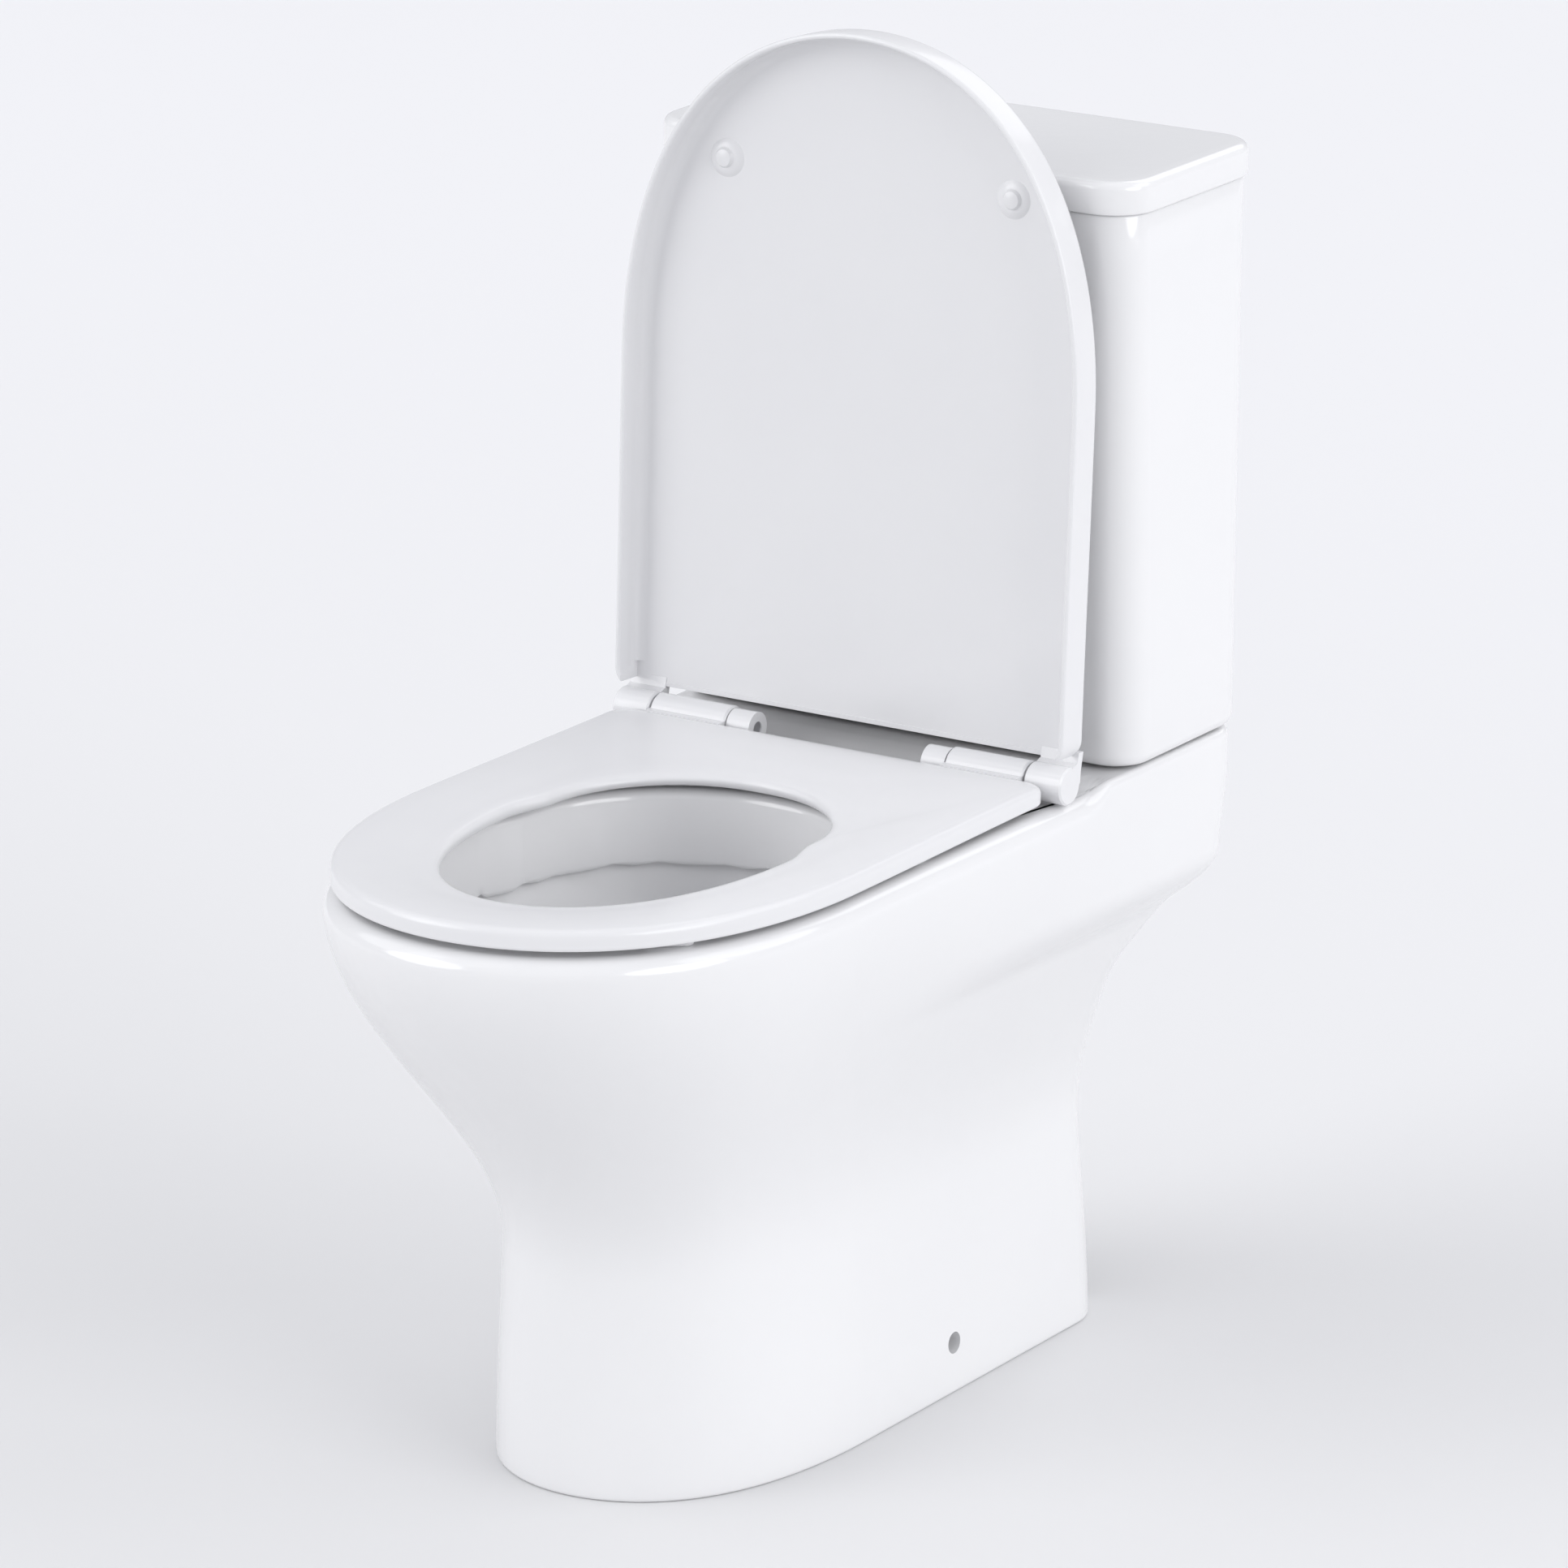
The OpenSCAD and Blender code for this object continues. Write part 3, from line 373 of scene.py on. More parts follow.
def meshed(name, spots, quads, fan=np.zeros((0, 3), int)):
    """Object with these points and faces, turned outwards."""
    sides = np.concatenate([quads[:, [0, 1, 2]], quads[:, [0, 2, 3]], fan])
    a, b, c = (spots[sides[:, i]] for i in range(3))
    if np.einsum("ij,ij->i", a, np.cross(b, c)).sum() < 0:
        quads, fan = quads[:, ::-1], fan[:, ::-1]
    made = bpy.data.objects.new(name, bpy.data.meshes.new(name))
    made.data.from_pydata(spots.tolist(), [], quads.tolist() + fan.tolist())
    bpy.context.scene.collection.objects.link(made)
    return made


def turned(name, profile, middle, axis="Z", sides=64):
    """Lathe form: a profile of (radius, distance along the axis), spun about X, Y or Z through the middle."""
    profile = np.asarray(profile, float)
    around = np.linspace(0, 2 * math.pi, sides, endpoint=False)
    across = profile[:, :1] * np.cos(around), profile[:, :1] * np.sin(around)
    along = np.broadcast_to(profile[:, 1:], across[0].shape)
    order = {"Z": (0, 1, 2), "X": (2, 0, 1), "Y": (1, 2, 0)}[axis]
    parts = [across[0], across[1], along]
    return solid(name, np.stack([parts[i] for i in order], axis=-1) + np.asarray(middle, float))


def block(name, low, high):
    """Box between two corners."""
    (x0, y0, z0), (x1, y1, z1) = low, high
    ring = np.array([[x0, y0], [x1, y0], [x1, y1], [x0, y1]])[None]
    return solid(name, raised_to(np.repeat(ring, 2, axis=0), [z0, z1]))


def joined(made, tool, operation="DIFFERENCE"):
    """Cuts the tool out of a piece, or adds it on, then does away with the tool."""
    step = made.modifiers.new("joined", "BOOLEAN")
    step.operation = operation
    step.object = tool
    step.solver = "MANIFOLD"
    bpy.context.view_layer.update()
    shape = bpy.data.meshes.new_from_object(made.evaluated_get(bpy.context.evaluated_depsgraph_get()))
    made.modifiers.clear()
    made.data = shape
    bpy.data.objects.remove(tool)
    return made


def placed_on(made, body, slot, finish, *nodes, crease=35):
    """Smooths a finished piece up to its sharp edges, gives it its finish and puts it on its body."""
    made.data.materials.clear()
    made.data.materials.append(finish)
    made.data.polygons.foreach_set("use_smooth", [True] * len(made.data.polygons))
    made.data.set_sharp_from_angle(angle=math.radians(crease))
    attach(made, body)
    if nodes:
        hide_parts(*nodes)
    return made


def china_surface(place):
    """White glaze: a faint cloud of colour, a slow wave from the firing and small changes in its polish."""
    cloud = place.noise(7.0, 3.0)
    wave = place.noise(26.0, 1.0) * 0.7 + place.noise(120.0, 1.0) * 0.3
    return {
        "Base Color": cloud.between(glaze_shade, glaze_white),
        "Roughness": place.noise(40.0) * 0.06 + 0.10,
        "Coat Weight": place.noise(15.0) * 0.1 + 0.6,
        "Normal": wave.bump(0.25, 0.35 * mm),
    }


china = finish_of("glazed_china", {"IOR": 1.5, "Coat Roughness": 0.03}, china_surface)


def skin_rows():
    """The outside of the pan from the floor to the rim: a rounded foot, then even levels. Near the top each
    is stretched up to the rim's edge, or to the shelf's where the cistern stands."""
    bend = np.radians(np.linspace(90, 0, 5))
    foot = raised_to(pan_outline(0 * bend, foot_r * (1 - np.cos(bend))), foot_r * (1 - np.sin(bend)))
    low = deck_z - 60 * mm
    z = np.linspace(foot_r, low, 72)[1:]
    z_up = np.linspace(low, deck_z - rim_r, 12)[1:]
    upper = pan_outline(z_up, 0)
    rise = shelf_rise(upper[..., 1])
    top = deck_z + (shelf_z - deck_z) * rise - mix(rim_r, shelf_r, rise)
    stretched = low + (z_up[:, None] - low) * (top - low) / (deck_z - rim_r - low)
    return [foot, raised_to(pan_outline(z, 0), z), raised_to(upper, stretched)]


def deck_rows():
    """The rim's rounded edge, then the deck in to the bowl's mouth, with the step up to the shelf."""
    outer, inner = pan_outline(deck_z, 0), pan_outline(deck_z, rim_r)
    bend = np.radians(np.linspace(0, 90, 9)[1:])[:, None]
    rise = shelf_rise(outer[..., 1])
    top = deck_z + (shelf_z - deck_z) * rise
    r = mix(rim_r, shelf_r, rise)
    edge = mix(outer, inner, (r / rim_r * (1 - np.cos(bend)))[..., None])
    rim = raised_to(edge, top - r * (1 - np.sin(bend)))
    across = np.linspace(0, 1, 40)[1:, None, None]
    deck = mix(edge[-1:], bowl_outline(bowl_edge_r), across)
    return [rim, raised_to(deck, deck_z + (shelf_z - deck_z) * shelf_rise(deck[..., 1]))]


def bowl_rows():
    """The bowl: a rounded mouth, the rim's upright wall, its lip with a row of wash holes, the ledge under
    that, and a slope that draws the outline in to the round sump."""
    bend = np.radians(np.linspace(0, 90, 7)[1:])
    mouth_z = deck_z - bowl_edge_r * (1 - np.cos(bend))
    mouth = raised_to(bowl_outline(bowl_edge_r * (1 - np.sin(bend))), mouth_z)
    wall_low = deck_z - rim_wall + rim_lip
    z = np.linspace(deck_z - bowl_edge_r, wall_low, 8)[1:]
    wall = raised_to(bowl_outline(0 * z), z)
    ring = bowl_outline(0)[0]
    run = np.concatenate([[0], np.cumsum(np.hypot(*(np.roll(ring, -1, axis=0) - ring).T))])
    hole = (0.5 + 0.5 * np.cos(2 * math.pi * wash_holes * run[:-1] / run[-1])) ** 6
    bend = np.radians(np.linspace(0, 180, 9)[1:])
    lip = raised_to(bowl_outline(rim_lip / 2 * (1 - np.cos(bend))),
                    wall_low - (rim_lip * np.sin(bend))[:, None] * (1 - 0.9 * hole))
    ledge = raised_to(bowl_outline(np.linspace(rim_lip, rim_ledge, 4)[1:]), wall_low + 1 * mm)
    t = np.linspace(0, 1, 44)[:, None, None]
    mouth_low = bowl_outline((rim_ledge * (1 - t[:, 0, 0]) ** 2))
    away = mouth_low - sump_focus
    sump = [0, sump_y] + sump_r * away / np.linalg.norm(away, axis=-1, keepdims=True)
    slope = mix(mouth_low, sump, mix(t, 1 - np.cos(math.pi / 2 * t), belly))
    fall = mix(t[:, 0, 0], np.sin(math.pi / 2 * t[:, 0, 0]), belly)
    slopes = raised_to(slope, mix(deck_z - rim_wall, well_top, fall))
    well = raised_to(np.repeat(sump[-1:], 4, axis=0), np.linspace(well_top, sump_z + dish_h, 5)[1:])
    bend = np.radians(np.linspace(90, 8, 10)[1:])
    dish = [0, sump_y] + (sump[-1] - [0, sump_y]) * np.sin(bend)[:, None, None]
    return [mouth, wall, lip, ledge, slopes, well, raised_to(dish, sump_z + dish_h * (1 - np.cos(bend)))]


def tube(name, path, r, sides=40):
    """Round tube along points (y, z, heading in radians) in the plane of symmetry."""
    y, z, heading = (np.array(path).T)[:, :, None]
    a = np.linspace(0, 2 * math.pi, sides, endpoint=False)
    return solid(name, np.stack([
        np.broadcast_to(r * np.cos(a), (len(path), sides)),
        y - r * np.sin(a) * np.sin(heading),
        z + r * np.sin(a) * np.cos(heading),
    ], axis=-1))


rise_a, fall_a = math.radians(38), math.radians(50)
weir_r, heel_r = 58 * mm, 60 * mm
start = np.array([sump_y + 4 * mm, sump_z + trap_r + 1 * mm])
weir = start + 40 * mm * np.array([math.cos(rise_a), math.sin(rise_a)])
weir = weir + weir_r * np.array([math.sin(rise_a), -math.cos(rise_a)])
crest = weir + weir_r * np.array([math.sin(fall_a), math.cos(fall_a)])
drop = (crest[1] - outlet_z - heel_r * (1 - math.cos(fall_a))) / math.sin(fall_a)
heel = crest + drop * np.array([math.cos(fall_a), -math.sin(fall_a)])
heel = heel + heel_r * np.array([math.sin(fall_a), math.cos(fall_a)])
outlet_end = foot_back - 4 * mm
trap_path = [(*start, rise_a)]
trap_path += [(weir[0] - weir_r * math.sin(a), weir[1] + weir_r * math.cos(a), a)
              for a in np.linspace(rise_a, -fall_a, 14)]
trap_path += [(heel[0] + heel_r * math.sin(a), heel[1] - heel_r * math.cos(a), a)
              for a in np.linspace(-fall_a, 0, 9)]

pan = solid("pan_casting", np.concatenate(skin_rows() + deck_rows() + bowl_rows()))
hollow_z = np.concatenate([[-1 * mm], np.linspace(0, overhang_z + overhang_h, 18)[1:], [deck_z - 40 * mm]])
hollow = solid("hollow", raised_to(pan_outline(np.maximum(hollow_z, 0), clay), hollow_z))
slope_t = np.linspace(1, 0, 16)[:, None, None]
outer = bowl_outline(clay + 6 * mm)
away = outer - sump_focus
sump_out = [0, sump_y] + (sump_r + clay) * away / np.linalg.norm(away, axis=-1, keepdims=True)
belly_rows = raised_to(mix(outer, sump_out, mix(slope_t, 1 - np.cos(math.pi / 2 * slope_t), belly)),
                       mix(deck_z - rim_wall, sump_z - clay, slope_t[:, 0, 0]))
bowl_out = solid("bowl_out", np.concatenate([belly_rows, raised_to(outer, [deck_z])]))
joined(hollow, bowl_out)
straight = [(outlet_end - spigot_len + 10 * mm, outlet_z, 0.0)]
joined(hollow, tube("trap_out", trap_path + straight, trap_r + clay))
joined(pan, hollow)
way_in = waist_w / 2 - clay - 12 * mm
joined(pan, block("way_in", (-way_in, foot_back - clay - 18 * mm, -10 * mm),
                  (way_in, foot_back + through, overhang_z - 7 * mm)))
spigot = turned("spigot", [(outlet_r - 6 * mm, -spigot_len), (outlet_r, -spigot_len), (outlet_r, -2 * mm),
                           (outlet_r - 2 * mm, 0)], (0, outlet_end, outlet_z), "Y")
joined(pan, spigot, "UNION")
joined(pan, tube("trap_bore", trap_path + [(outlet_end + 20 * mm, outlet_z, 0.0)], trap_r))
across = [(side_hole_r, -foot_w), (side_hole_r, foot_w)]
joined(pan, turned("side_holes", across, (0, side_hole_y, side_hole_z), "X", 40))
boss_r = gasket_r + 6 * mm
joined(pan, turned("inlet_boss", [(boss_r, -66 * mm), (boss_r, -3 * mm)], (0, flush_y, deck_z)), "UNION")
holes = [(0, flush_y, gasket_r, -8), (0, flush_y, inlet_r, -90), (fill_x, fill_y, fill_r, -178)]
for side in (-1, 1):
    holes += [(side * seat_bolt_x, hinge_y, seat_bolt_r, -40), (side * bolt_x, flush_y, bolt_hole, -40)]
for x, y, r, depth in holes:
    joined(pan, turned("deck_hole", [(r, depth * mm), (r, 40 * mm)], (x, y, deck_z)))
placed_on(pan, "toilet", "white_clay", china, "pan")

# ---- Cistern ----
# A vitreous china tank, slip-cast in one piece and glazed, open at the top. Two bolts
# through its floor draw it down on the pan's shelf, round the flush valve's tail.

cistern_taper, cistern_lean = 3 * mm, 14 * mm
cistern_wall, cistern_floor = 10 * mm, 12 * mm
cistern_r, tank_edge, tank_lip = 28 * mm, 8 * mm, 2 * mm
valve_hole, inlet_hole = 31.5 * mm, 11.5 * mm


def round_corners(w, y0, y1, r):
    """Rounded rectangles seen from above, as [levels, points, 2], with a quarter circle at each corner."""
    w, y0, y1, r = (v[:, None] for v in np.broadcast_arrays(*(np.atleast_1d(v) for v in (w, y0, y1, r))))
    a = np.radians(np.linspace(0, 90, 15))
    corners = ((-1, y1 - r, 90), (-1, y0 + r, 180), (1, y0 + r, 270), (1, y1 - r, 0))
    return np.concatenate([
        np.stack([side * (w / 2 - r) + r * np.cos(a + math.radians(from_a)),
                  y + r * np.sin(a + math.radians(from_a))], axis=-1)
        for side, y, from_a in corners
    ], axis=1)


def tank_rows(z, d):
    """The cistern's outline at heights z, drawn in by d: narrower and set back towards its foot."""
    z, d = np.broadcast_arrays(np.atleast_1d(z), np.atleast_1d(d))
    low = np.maximum(0, 1 - (z - cistern_low[2]) / (cistern_high[2] - cistern_low[2]))
    width = cistern_high[0] - cistern_low[0] - 2 * cistern_taper * low - 2 * d
    front = cistern_low[1] + cistern_lean * low + d
    return raised_to(round_corners(width, front, cistern_high[1] - d, cistern_r - d), z)


def cup_edge(z, r, d=0.0):
    """Rounded foot of a tank: rows that turn from flat to upright round a radius r."""
    a = np.radians(np.linspace(90, 0, 8))
    return tank_rows(z + r * (1 - np.sin(a)), d + r * (1 - np.cos(a)))


cistern_z, cistern_top = cistern_low[2], cistern_high[2]
brim = np.radians(np.linspace(0, 180, 9))
cistern = solid("cistern_casting", np.concatenate([
    cup_edge(cistern_z, tank_edge),
    tank_rows(np.linspace(cistern_z + tank_edge, cistern_top - tank_lip, 12)[1:], 0),
    tank_rows(cistern_top - tank_lip * (1 - np.sin(brim)), cistern_wall / 2 * (1 - np.cos(brim))),
    cup_edge(cistern_z + cistern_floor, tank_edge, cistern_wall)[::-1],
]))
holes = [(0, flush_y, valve_hole), (fill_x, fill_y, inlet_hole),
         (bolt_x, flush_y, bolt_hole), (-bolt_x, flush_y, bolt_hole)]
for x, y, r in holes:
    joined(cistern, turned("floor_hole", [(r, -10 * mm), (r, 40 * mm)], (x, y, cistern_z)))
placed_on(cistern, "toilet", "white_clay", china, "cistern")

# ---- Cistern lid ----
# A flat china slab with a soft rounded top edge that overhangs the tank by a few
# millimetres. A lip underneath keeps it in place, and its one hole takes the button.

lid_low, lid_high = (np.array(corner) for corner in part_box("cistern_lid"))
lid_over = cistern_low[1] - lid_low[1]
lid_edge, lid_plate, lid_arris, lid_flat = 6 * mm, 14 * mm, 1.5 * mm, 14 * mm
lip_in = lid_over + cistern_wall + 2.5 * mm
lip_t = 6 * mm
lid_hole_r = 21 * mm


def slab_rows(z, d):
    """Outline of the lid at heights z, drawn in by d."""
    z, d = np.broadcast_arrays(np.atleast_1d(z), np.atleast_1d(d))
    return raised_to(round_corners(lid_high[0] - lid_low[0] - 2 * d, lid_low[1] + d, lid_high[1] - d,
                                   cistern_r + lid_over - d), z)


bend = np.radians(np.linspace(0, 90, 14))
arris = np.radians(np.linspace(90, 0, 5))
cistern_lid = solid("cistern_lid_casting", np.concatenate([
    slab_rows([lid_high[2] - lid_plate, lid_high[2] - lid_plate - 2 * mm, lid_low[2] + 1 * mm],
              [lip_in + lip_t + 2 * mm, lip_in + lip_t, lip_in + lip_t]),
    slab_rows([lid_low[2], lid_low[2], lid_low[2] + 1 * mm, cistern_top],
              [lip_in + lip_t - 1 * mm, lip_in + 1 * mm, lip_in, lip_in]),
    slab_rows(cistern_top + lid_arris * (1 - np.sin(arris)), lid_arris * (1 - np.cos(arris))),
    slab_rows(np.linspace(cistern_top + lid_arris, lid_high[2] - lid_edge, 4)[1:], 0),
    slab_rows(lid_high[2] - lid_edge * (1 - np.sin(bend[1:])), lid_edge * (1 - np.cos(bend[1:]))),
    slab_rows(lid_high[2], lid_flat),
]))
button_hole = [(lid_hole_r, -50 * mm), (lid_hole_r, 10 * mm)]
joined(cistern_lid, turned("button_hole", button_hole, (0, flush_y, lid_high[2])))
placed_on(cistern_lid, "cistern_cover", "white_clay", china, "cistern_lid")

# ---- Flush buttons ----
# A chromed bezel clipped through the lid, and two chromed buttons in it that share one
# circle: the wide one gives the full flush and the narrow one the half flush.

bezel_r = bezel_high[0]
bezel_h = bezel_high[2] - lid_high[2]
button_low, button_high = (np.array(corner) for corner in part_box("full_flush_button"))
sleeve_out, sleeve_in = 20.5 * mm, 18.6 * mm
sleeve_z = bezel_low[2]
button_r = button_high[0]
split_x, split_gap = -5 * mm, 0.6 * mm
rod_x, rod_hole_r = (7 * mm, -11.5 * mm), 3.9 * mm
bezel_round, bezel_foot, sleeve_round = 5 * mm, 0.3 * mm, 0.8 * mm
sleeve_floor, base_t = 3 * mm, 3.2 * mm
button_edge, button_dome, dome_reach = 1.2 * mm, 0.5 * mm, 5 * mm
chrome_bright = (0.80, 0.81, 0.83, 1)
chrome_dull = (0.70, 0.71, 0.73, 1)


def chrome_surface(place):
    """Bright plated metal: almost no colour of its own, with fine wipe marks in its polish."""
    wipe = place.noise(300.0, 4.0, (1, 0.15, 1))
    return {"Base Color": place.noise(60.0).between(chrome_dull, chrome_bright),
            "Roughness": wipe * 0.08 + 0.05, "Normal": wipe.bump(0.1, 0.05 * mm)}


chrome = finish_of("chrome", {"Metallic": 1.0}, chrome_surface)


def spun(name, section, middle, sides=96):
    """Ring: a closed section of (radius, height) points carried round the Z axis through the middle point."""
    section = np.asarray(section, float)
    a = np.linspace(0, 2 * math.pi, sides, endpoint=False)[:, None]
    rings = np.stack([section[:, 0] * np.cos(a), section[:, 0] * np.sin(a), section[:, 1] + 0 * a], axis=-1)
    return hooped(name, rings + np.asarray(middle, float))


def hooped(name, rings):
    """Closed mesh through sections [places, points, 3] that close on themselves and on the first again."""
    places, points = rings.shape[:2]
    inside = np.arange(places * points).reshape(places, points)
    after = np.roll(inside, -1, axis=0)
    quads = np.stack([inside, np.roll(inside, -1, axis=1), np.roll(after, -1, axis=1), after], axis=-1)
    return meshed(name, rings.reshape(-1, 3), quads.reshape(-1, 4))


bend = np.radians(np.linspace(0, 90, 7))
bezel_top = np.stack([bezel_r - bezel_round + bezel_round * np.cos(bend),
                      bezel_foot + (bezel_h - bezel_foot) * np.sin(bend)], axis=1)
inner_top = np.stack([sleeve_in + sleeve_round * (1 - np.sin(bend)),
                      bezel_h - sleeve_round * (1 - np.cos(bend))], axis=1)
sleeve_low = sleeve_z - lid_high[2] + sleeve_floor
sleeve = [(sleeve_in, sleeve_low), (sleeve_out, sleeve_low), (sleeve_out, 0)]
bezel = spun("bezel_ring", np.concatenate([[(bezel_r, 0)], bezel_top, inner_top, sleeve]),
             (0, flush_y, lid_high[2]))
joined(bezel, turned("bezel_base", [(sleeve_out, 0), (sleeve_out, base_t)], (0, flush_y, sleeve_z)), "UNION")
for x in rod_x:
    rod_hole = [(rod_hole_r, -10 * mm), (rod_hole_r, 10 * mm)]
    joined(bezel, turned("rod_hole", rod_hole, (x, flush_y, sleeve_z)))
placed_on(bezel, "cistern_cover", "bright_chrome", chrome, "button_bezel")


def button_half(name, side, body):
    """One button: the part of a disc beyond the split, its top a shallow dome with a rounded edge."""
    def rows(z, d):
        r, x0 = button_r - d, split_x + side * (split_gap / 2 + d)
        far = math.acos(x0 / r) if side > 0 else math.pi - math.acos(x0 / r)
        a = np.linspace(-far, far, 49) + (0 if side > 0 else math.pi)
        chord = np.linspace(1, -1, 14)[1:-1] * r * math.sin(far)
        x = np.concatenate([r * np.cos(a), np.full(len(chord), x0)])
        y = np.concatenate([r * np.sin(a), chord * (1 if side > 0 else -1)])
        return np.stack([x, y + flush_y, np.full(len(x), z)], axis=-1)

    top = button_high[2] - button_dome
    bend = np.radians(np.linspace(0, 90, 7))
    edge = [rows(top - button_edge * (1 - math.sin(b)), button_edge * (1 - math.cos(b))) for b in bend]
    dome = [rows(top + button_dome * (1 - (1 - t) ** 2), button_edge + dome_reach * t)
            for t in (0.3, 0.6, 1.0)]
    made = solid(name, np.stack([rows(button_low[2], 0)] + edge + dome))
    return placed_on(made, body, "bright_chrome", chrome, name.replace("_cap", "_button"), crease=50)


button_half("full_flush_cap", 1, "full_button")
button_half("half_flush_cap", -1, "half_button")

# ---- Seat ----
# One moulded ring of dense white thermoset plastic, wide at the back where its two arms
# carry the knuckles. Its top falls towards the opening, and its underside is hollowed.

seat_w, seat_t, seat_gap = 342 * mm, 14 * mm, 5 * mm
seat_z = deck_z + seat_gap
seat_front, seat_back = front_y + 7 * mm, hinge_y - 15 * mm
opening_w, ring_front = 216 * mm, 68 * mm
knuckle_r, damper_r, pin_r = 12.8 * mm, 9 * mm, 5 * mm
seat_knuckle = (87 * mm, 147 * mm)
knuckle_chamfer = 1.2 * mm
plastic_white = (0.78, 0.78, 0.79, 1)
plastic_shade = (0.75, 0.75, 0.765, 1)


def plastic_surface(place):
    """Polished moulded plastic: an even white, a very fine grain and a slight variation in gloss."""
    grain = place.noise(900.0, 2.0)
    return {"Base Color": place.noise(9.0).between(plastic_shade, plastic_white),
            "Roughness": place.noise(35.0) * 0.08 + 0.20,
            "Normal": (grain * 0.3 + place.noise(18.0) * 0.7).bump(0.12, 0.3 * mm)}


plastic_settings = {"IOR": 1.5, "Coat Weight": 0.25, "Coat Roughness": 0.08}
plastic = finish_of("seat_moulding", plastic_settings, plastic_surface)


def smooth_loop(points, steps):
    """Closed Catmull-Rom curve through the points, with steps places between each two."""
    p = np.asarray(points, float)
    t = (np.arange(steps) / steps)[None, :, None]
    a, b, c, d = (np.roll(p, k, axis=0)[:, None] for k in (1, 0, -1, -2))
    curve = 2 * b + (c - a) * t + (2 * a - 5 * b + 4 * c - d) * t ** 2 + (3 * b - a - 3 * c + d) * t ** 3
    return 0.5 * curve.reshape(-1, p.shape[1])


seat_section = smooth_loop([
    (0.03, 0), (0.003, 0.1), (0, 0.3), (0, 0.66), (0.012, 0.84), (0.04, 0.96), (0.10, 1.01), (0.30, 1.01),
    (0.55, 0.92), (0.78, 0.77), (0.90, 0.69), (0.97, 0.60), (1, 0.40), (0.995, 0.15), (0.97, 0), (0.92, 0),
    (0.86, 0.12), (0.5, 0.16), (0.16, 0.16), (0.10, 0),
], 4)
outer = d_outline(seat_w / 2, seat_w / 2 - 2 * mm, seat_front, hinge_y - 252 * mm,
                  seat_back, 12 * mm, 0.10)[0]
inner = d_outline(opening_w / 2, opening_w / 2 - 8 * mm, seat_front + ring_front, hinge_y - 235 * mm,
                  hinge_y - 100 * mm, opening_w / 2 - 10 * mm, 0.06)[0]
rings = mix(outer[:, None], inner[:, None], seat_section[None, :, :1])
seat = hooped("seat_moulding", np.concatenate([
    rings, np.broadcast_to(seat_z + seat_t * seat_section[:, 1:], rings.shape[:2] + (1,))], axis=-1))


def knuckle(name, side, span, r, chamfer=knuckle_chamfer):
    """Barrel on the hinge axis between two distances from the middle, with a small chamfer at each end."""
    a, b = sorted(side * s for s in span)
    return turned(name, [(r - chamfer, a), (r, a + chamfer), (r, b - chamfer), (r - chamfer, b)],
                  (0, hinge_y, hinge_z), "X")


for side in (-1, 1):
    low, high = sorted(side * x for x in seat_knuckle)
    arm = block("seat_arm", (low, seat_back - 3 * mm, seat_z + 2 * mm), (high, hinge_y, seat_z + seat_t))
    joined(seat, arm, "UNION")
    joined(seat, knuckle("seat_barrel", side, seat_knuckle, knuckle_r), "UNION")
    bore = [(damper_r, low - 1 * mm), (damper_r, high + 1 * mm)]
    joined(seat, turned("damper_bore", bore, (0, hinge_y, hinge_z), "X"))
placed_on(seat, "seat", "seat_plastic", plastic, "seat_ring")

# ---- Seat buffers ----
# Four moulded blocks pressed into the seat's underside. They rest on the rim and carry
# the load: the two at the front are turned to lie across the ring.

buffer_l, buffer_w, buffer_sink, buffer_round = 34 * mm, 12 * mm, 2.8 * mm, 1.5 * mm
buffer_places = ((seat_w / 2 - 53 * mm, seat_front + 86 * mm, 38),
                 (seat_w / 2 - 29 * mm, hinge_y - 150 * mm, 0))


def buffer_rows(x, y, angle):
    """Block with half-round ends: its outline is a stadium and its lower edge is rounded. It stands up into
    the seat."""
    a = np.radians(np.linspace(-90, 90, 16))
    bend = np.radians(np.linspace(90, 0, 6))
    z = np.concatenate([deck_z + buffer_round * (1 - np.sin(bend)), [seat_z + buffer_sink]])
    d = np.concatenate([buffer_round * (1 - np.cos(bend)), [0]])
    r = (buffer_w / 2 - d)[:, None]
    half_x = (buffer_l - buffer_w) / 2 + r * np.cos(a)
    ring_x = np.concatenate([half_x, -half_x], axis=1)
    ring_y = np.concatenate([r * np.sin(a), -r * np.sin(a)], axis=1)
    turned_x = ring_x * math.cos(angle) - ring_y * math.sin(angle)
    turned_y = ring_x * math.sin(angle) + ring_y * math.cos(angle)
    return raised_to(np.stack([x + turned_x, y + turned_y], axis=-1), z)


buffers = None
for side in (-1, 1):
    for x, y, angle in buffer_places:
        one = solid("seat_buffers_moulded", buffer_rows(side * x, y, side * math.radians(angle)))
        buffers = joined(buffers, one, "UNION") if buffers else one
placed_on(buffers, "seat", "seat_rubber", plastic, "seat_buffers")

# ---- Lid ----
# A moulded shell that wraps over the seat: a slightly crowned panel, a deep wall round
# it and a soft outer edge. Its arms end in the outer knuckles of the hinge.

lid_lean = 3
lid_w = seat_w + 14 * mm
shell_front = seat_front - 6 * mm
shell_low, shell_high, shell_inside = deck_z + 2.5 * mm, hinge_z + 17 * mm, hinge_z + 10 * mm
shell_wall, shell_edge, shell_fillet, crown = 4 * mm, 6 * mm, 9 * mm, 4 * mm
lid_knuckle = (148.5 * mm, 177 * mm)
pin_bore_r = pin_r + 0.08 * mm
lid_arm = [(0, 12.6), (-8, 13), (-21, 15.5), (-21, 9.8), (-14, 8.6), (-12, 3), (0, -2)]


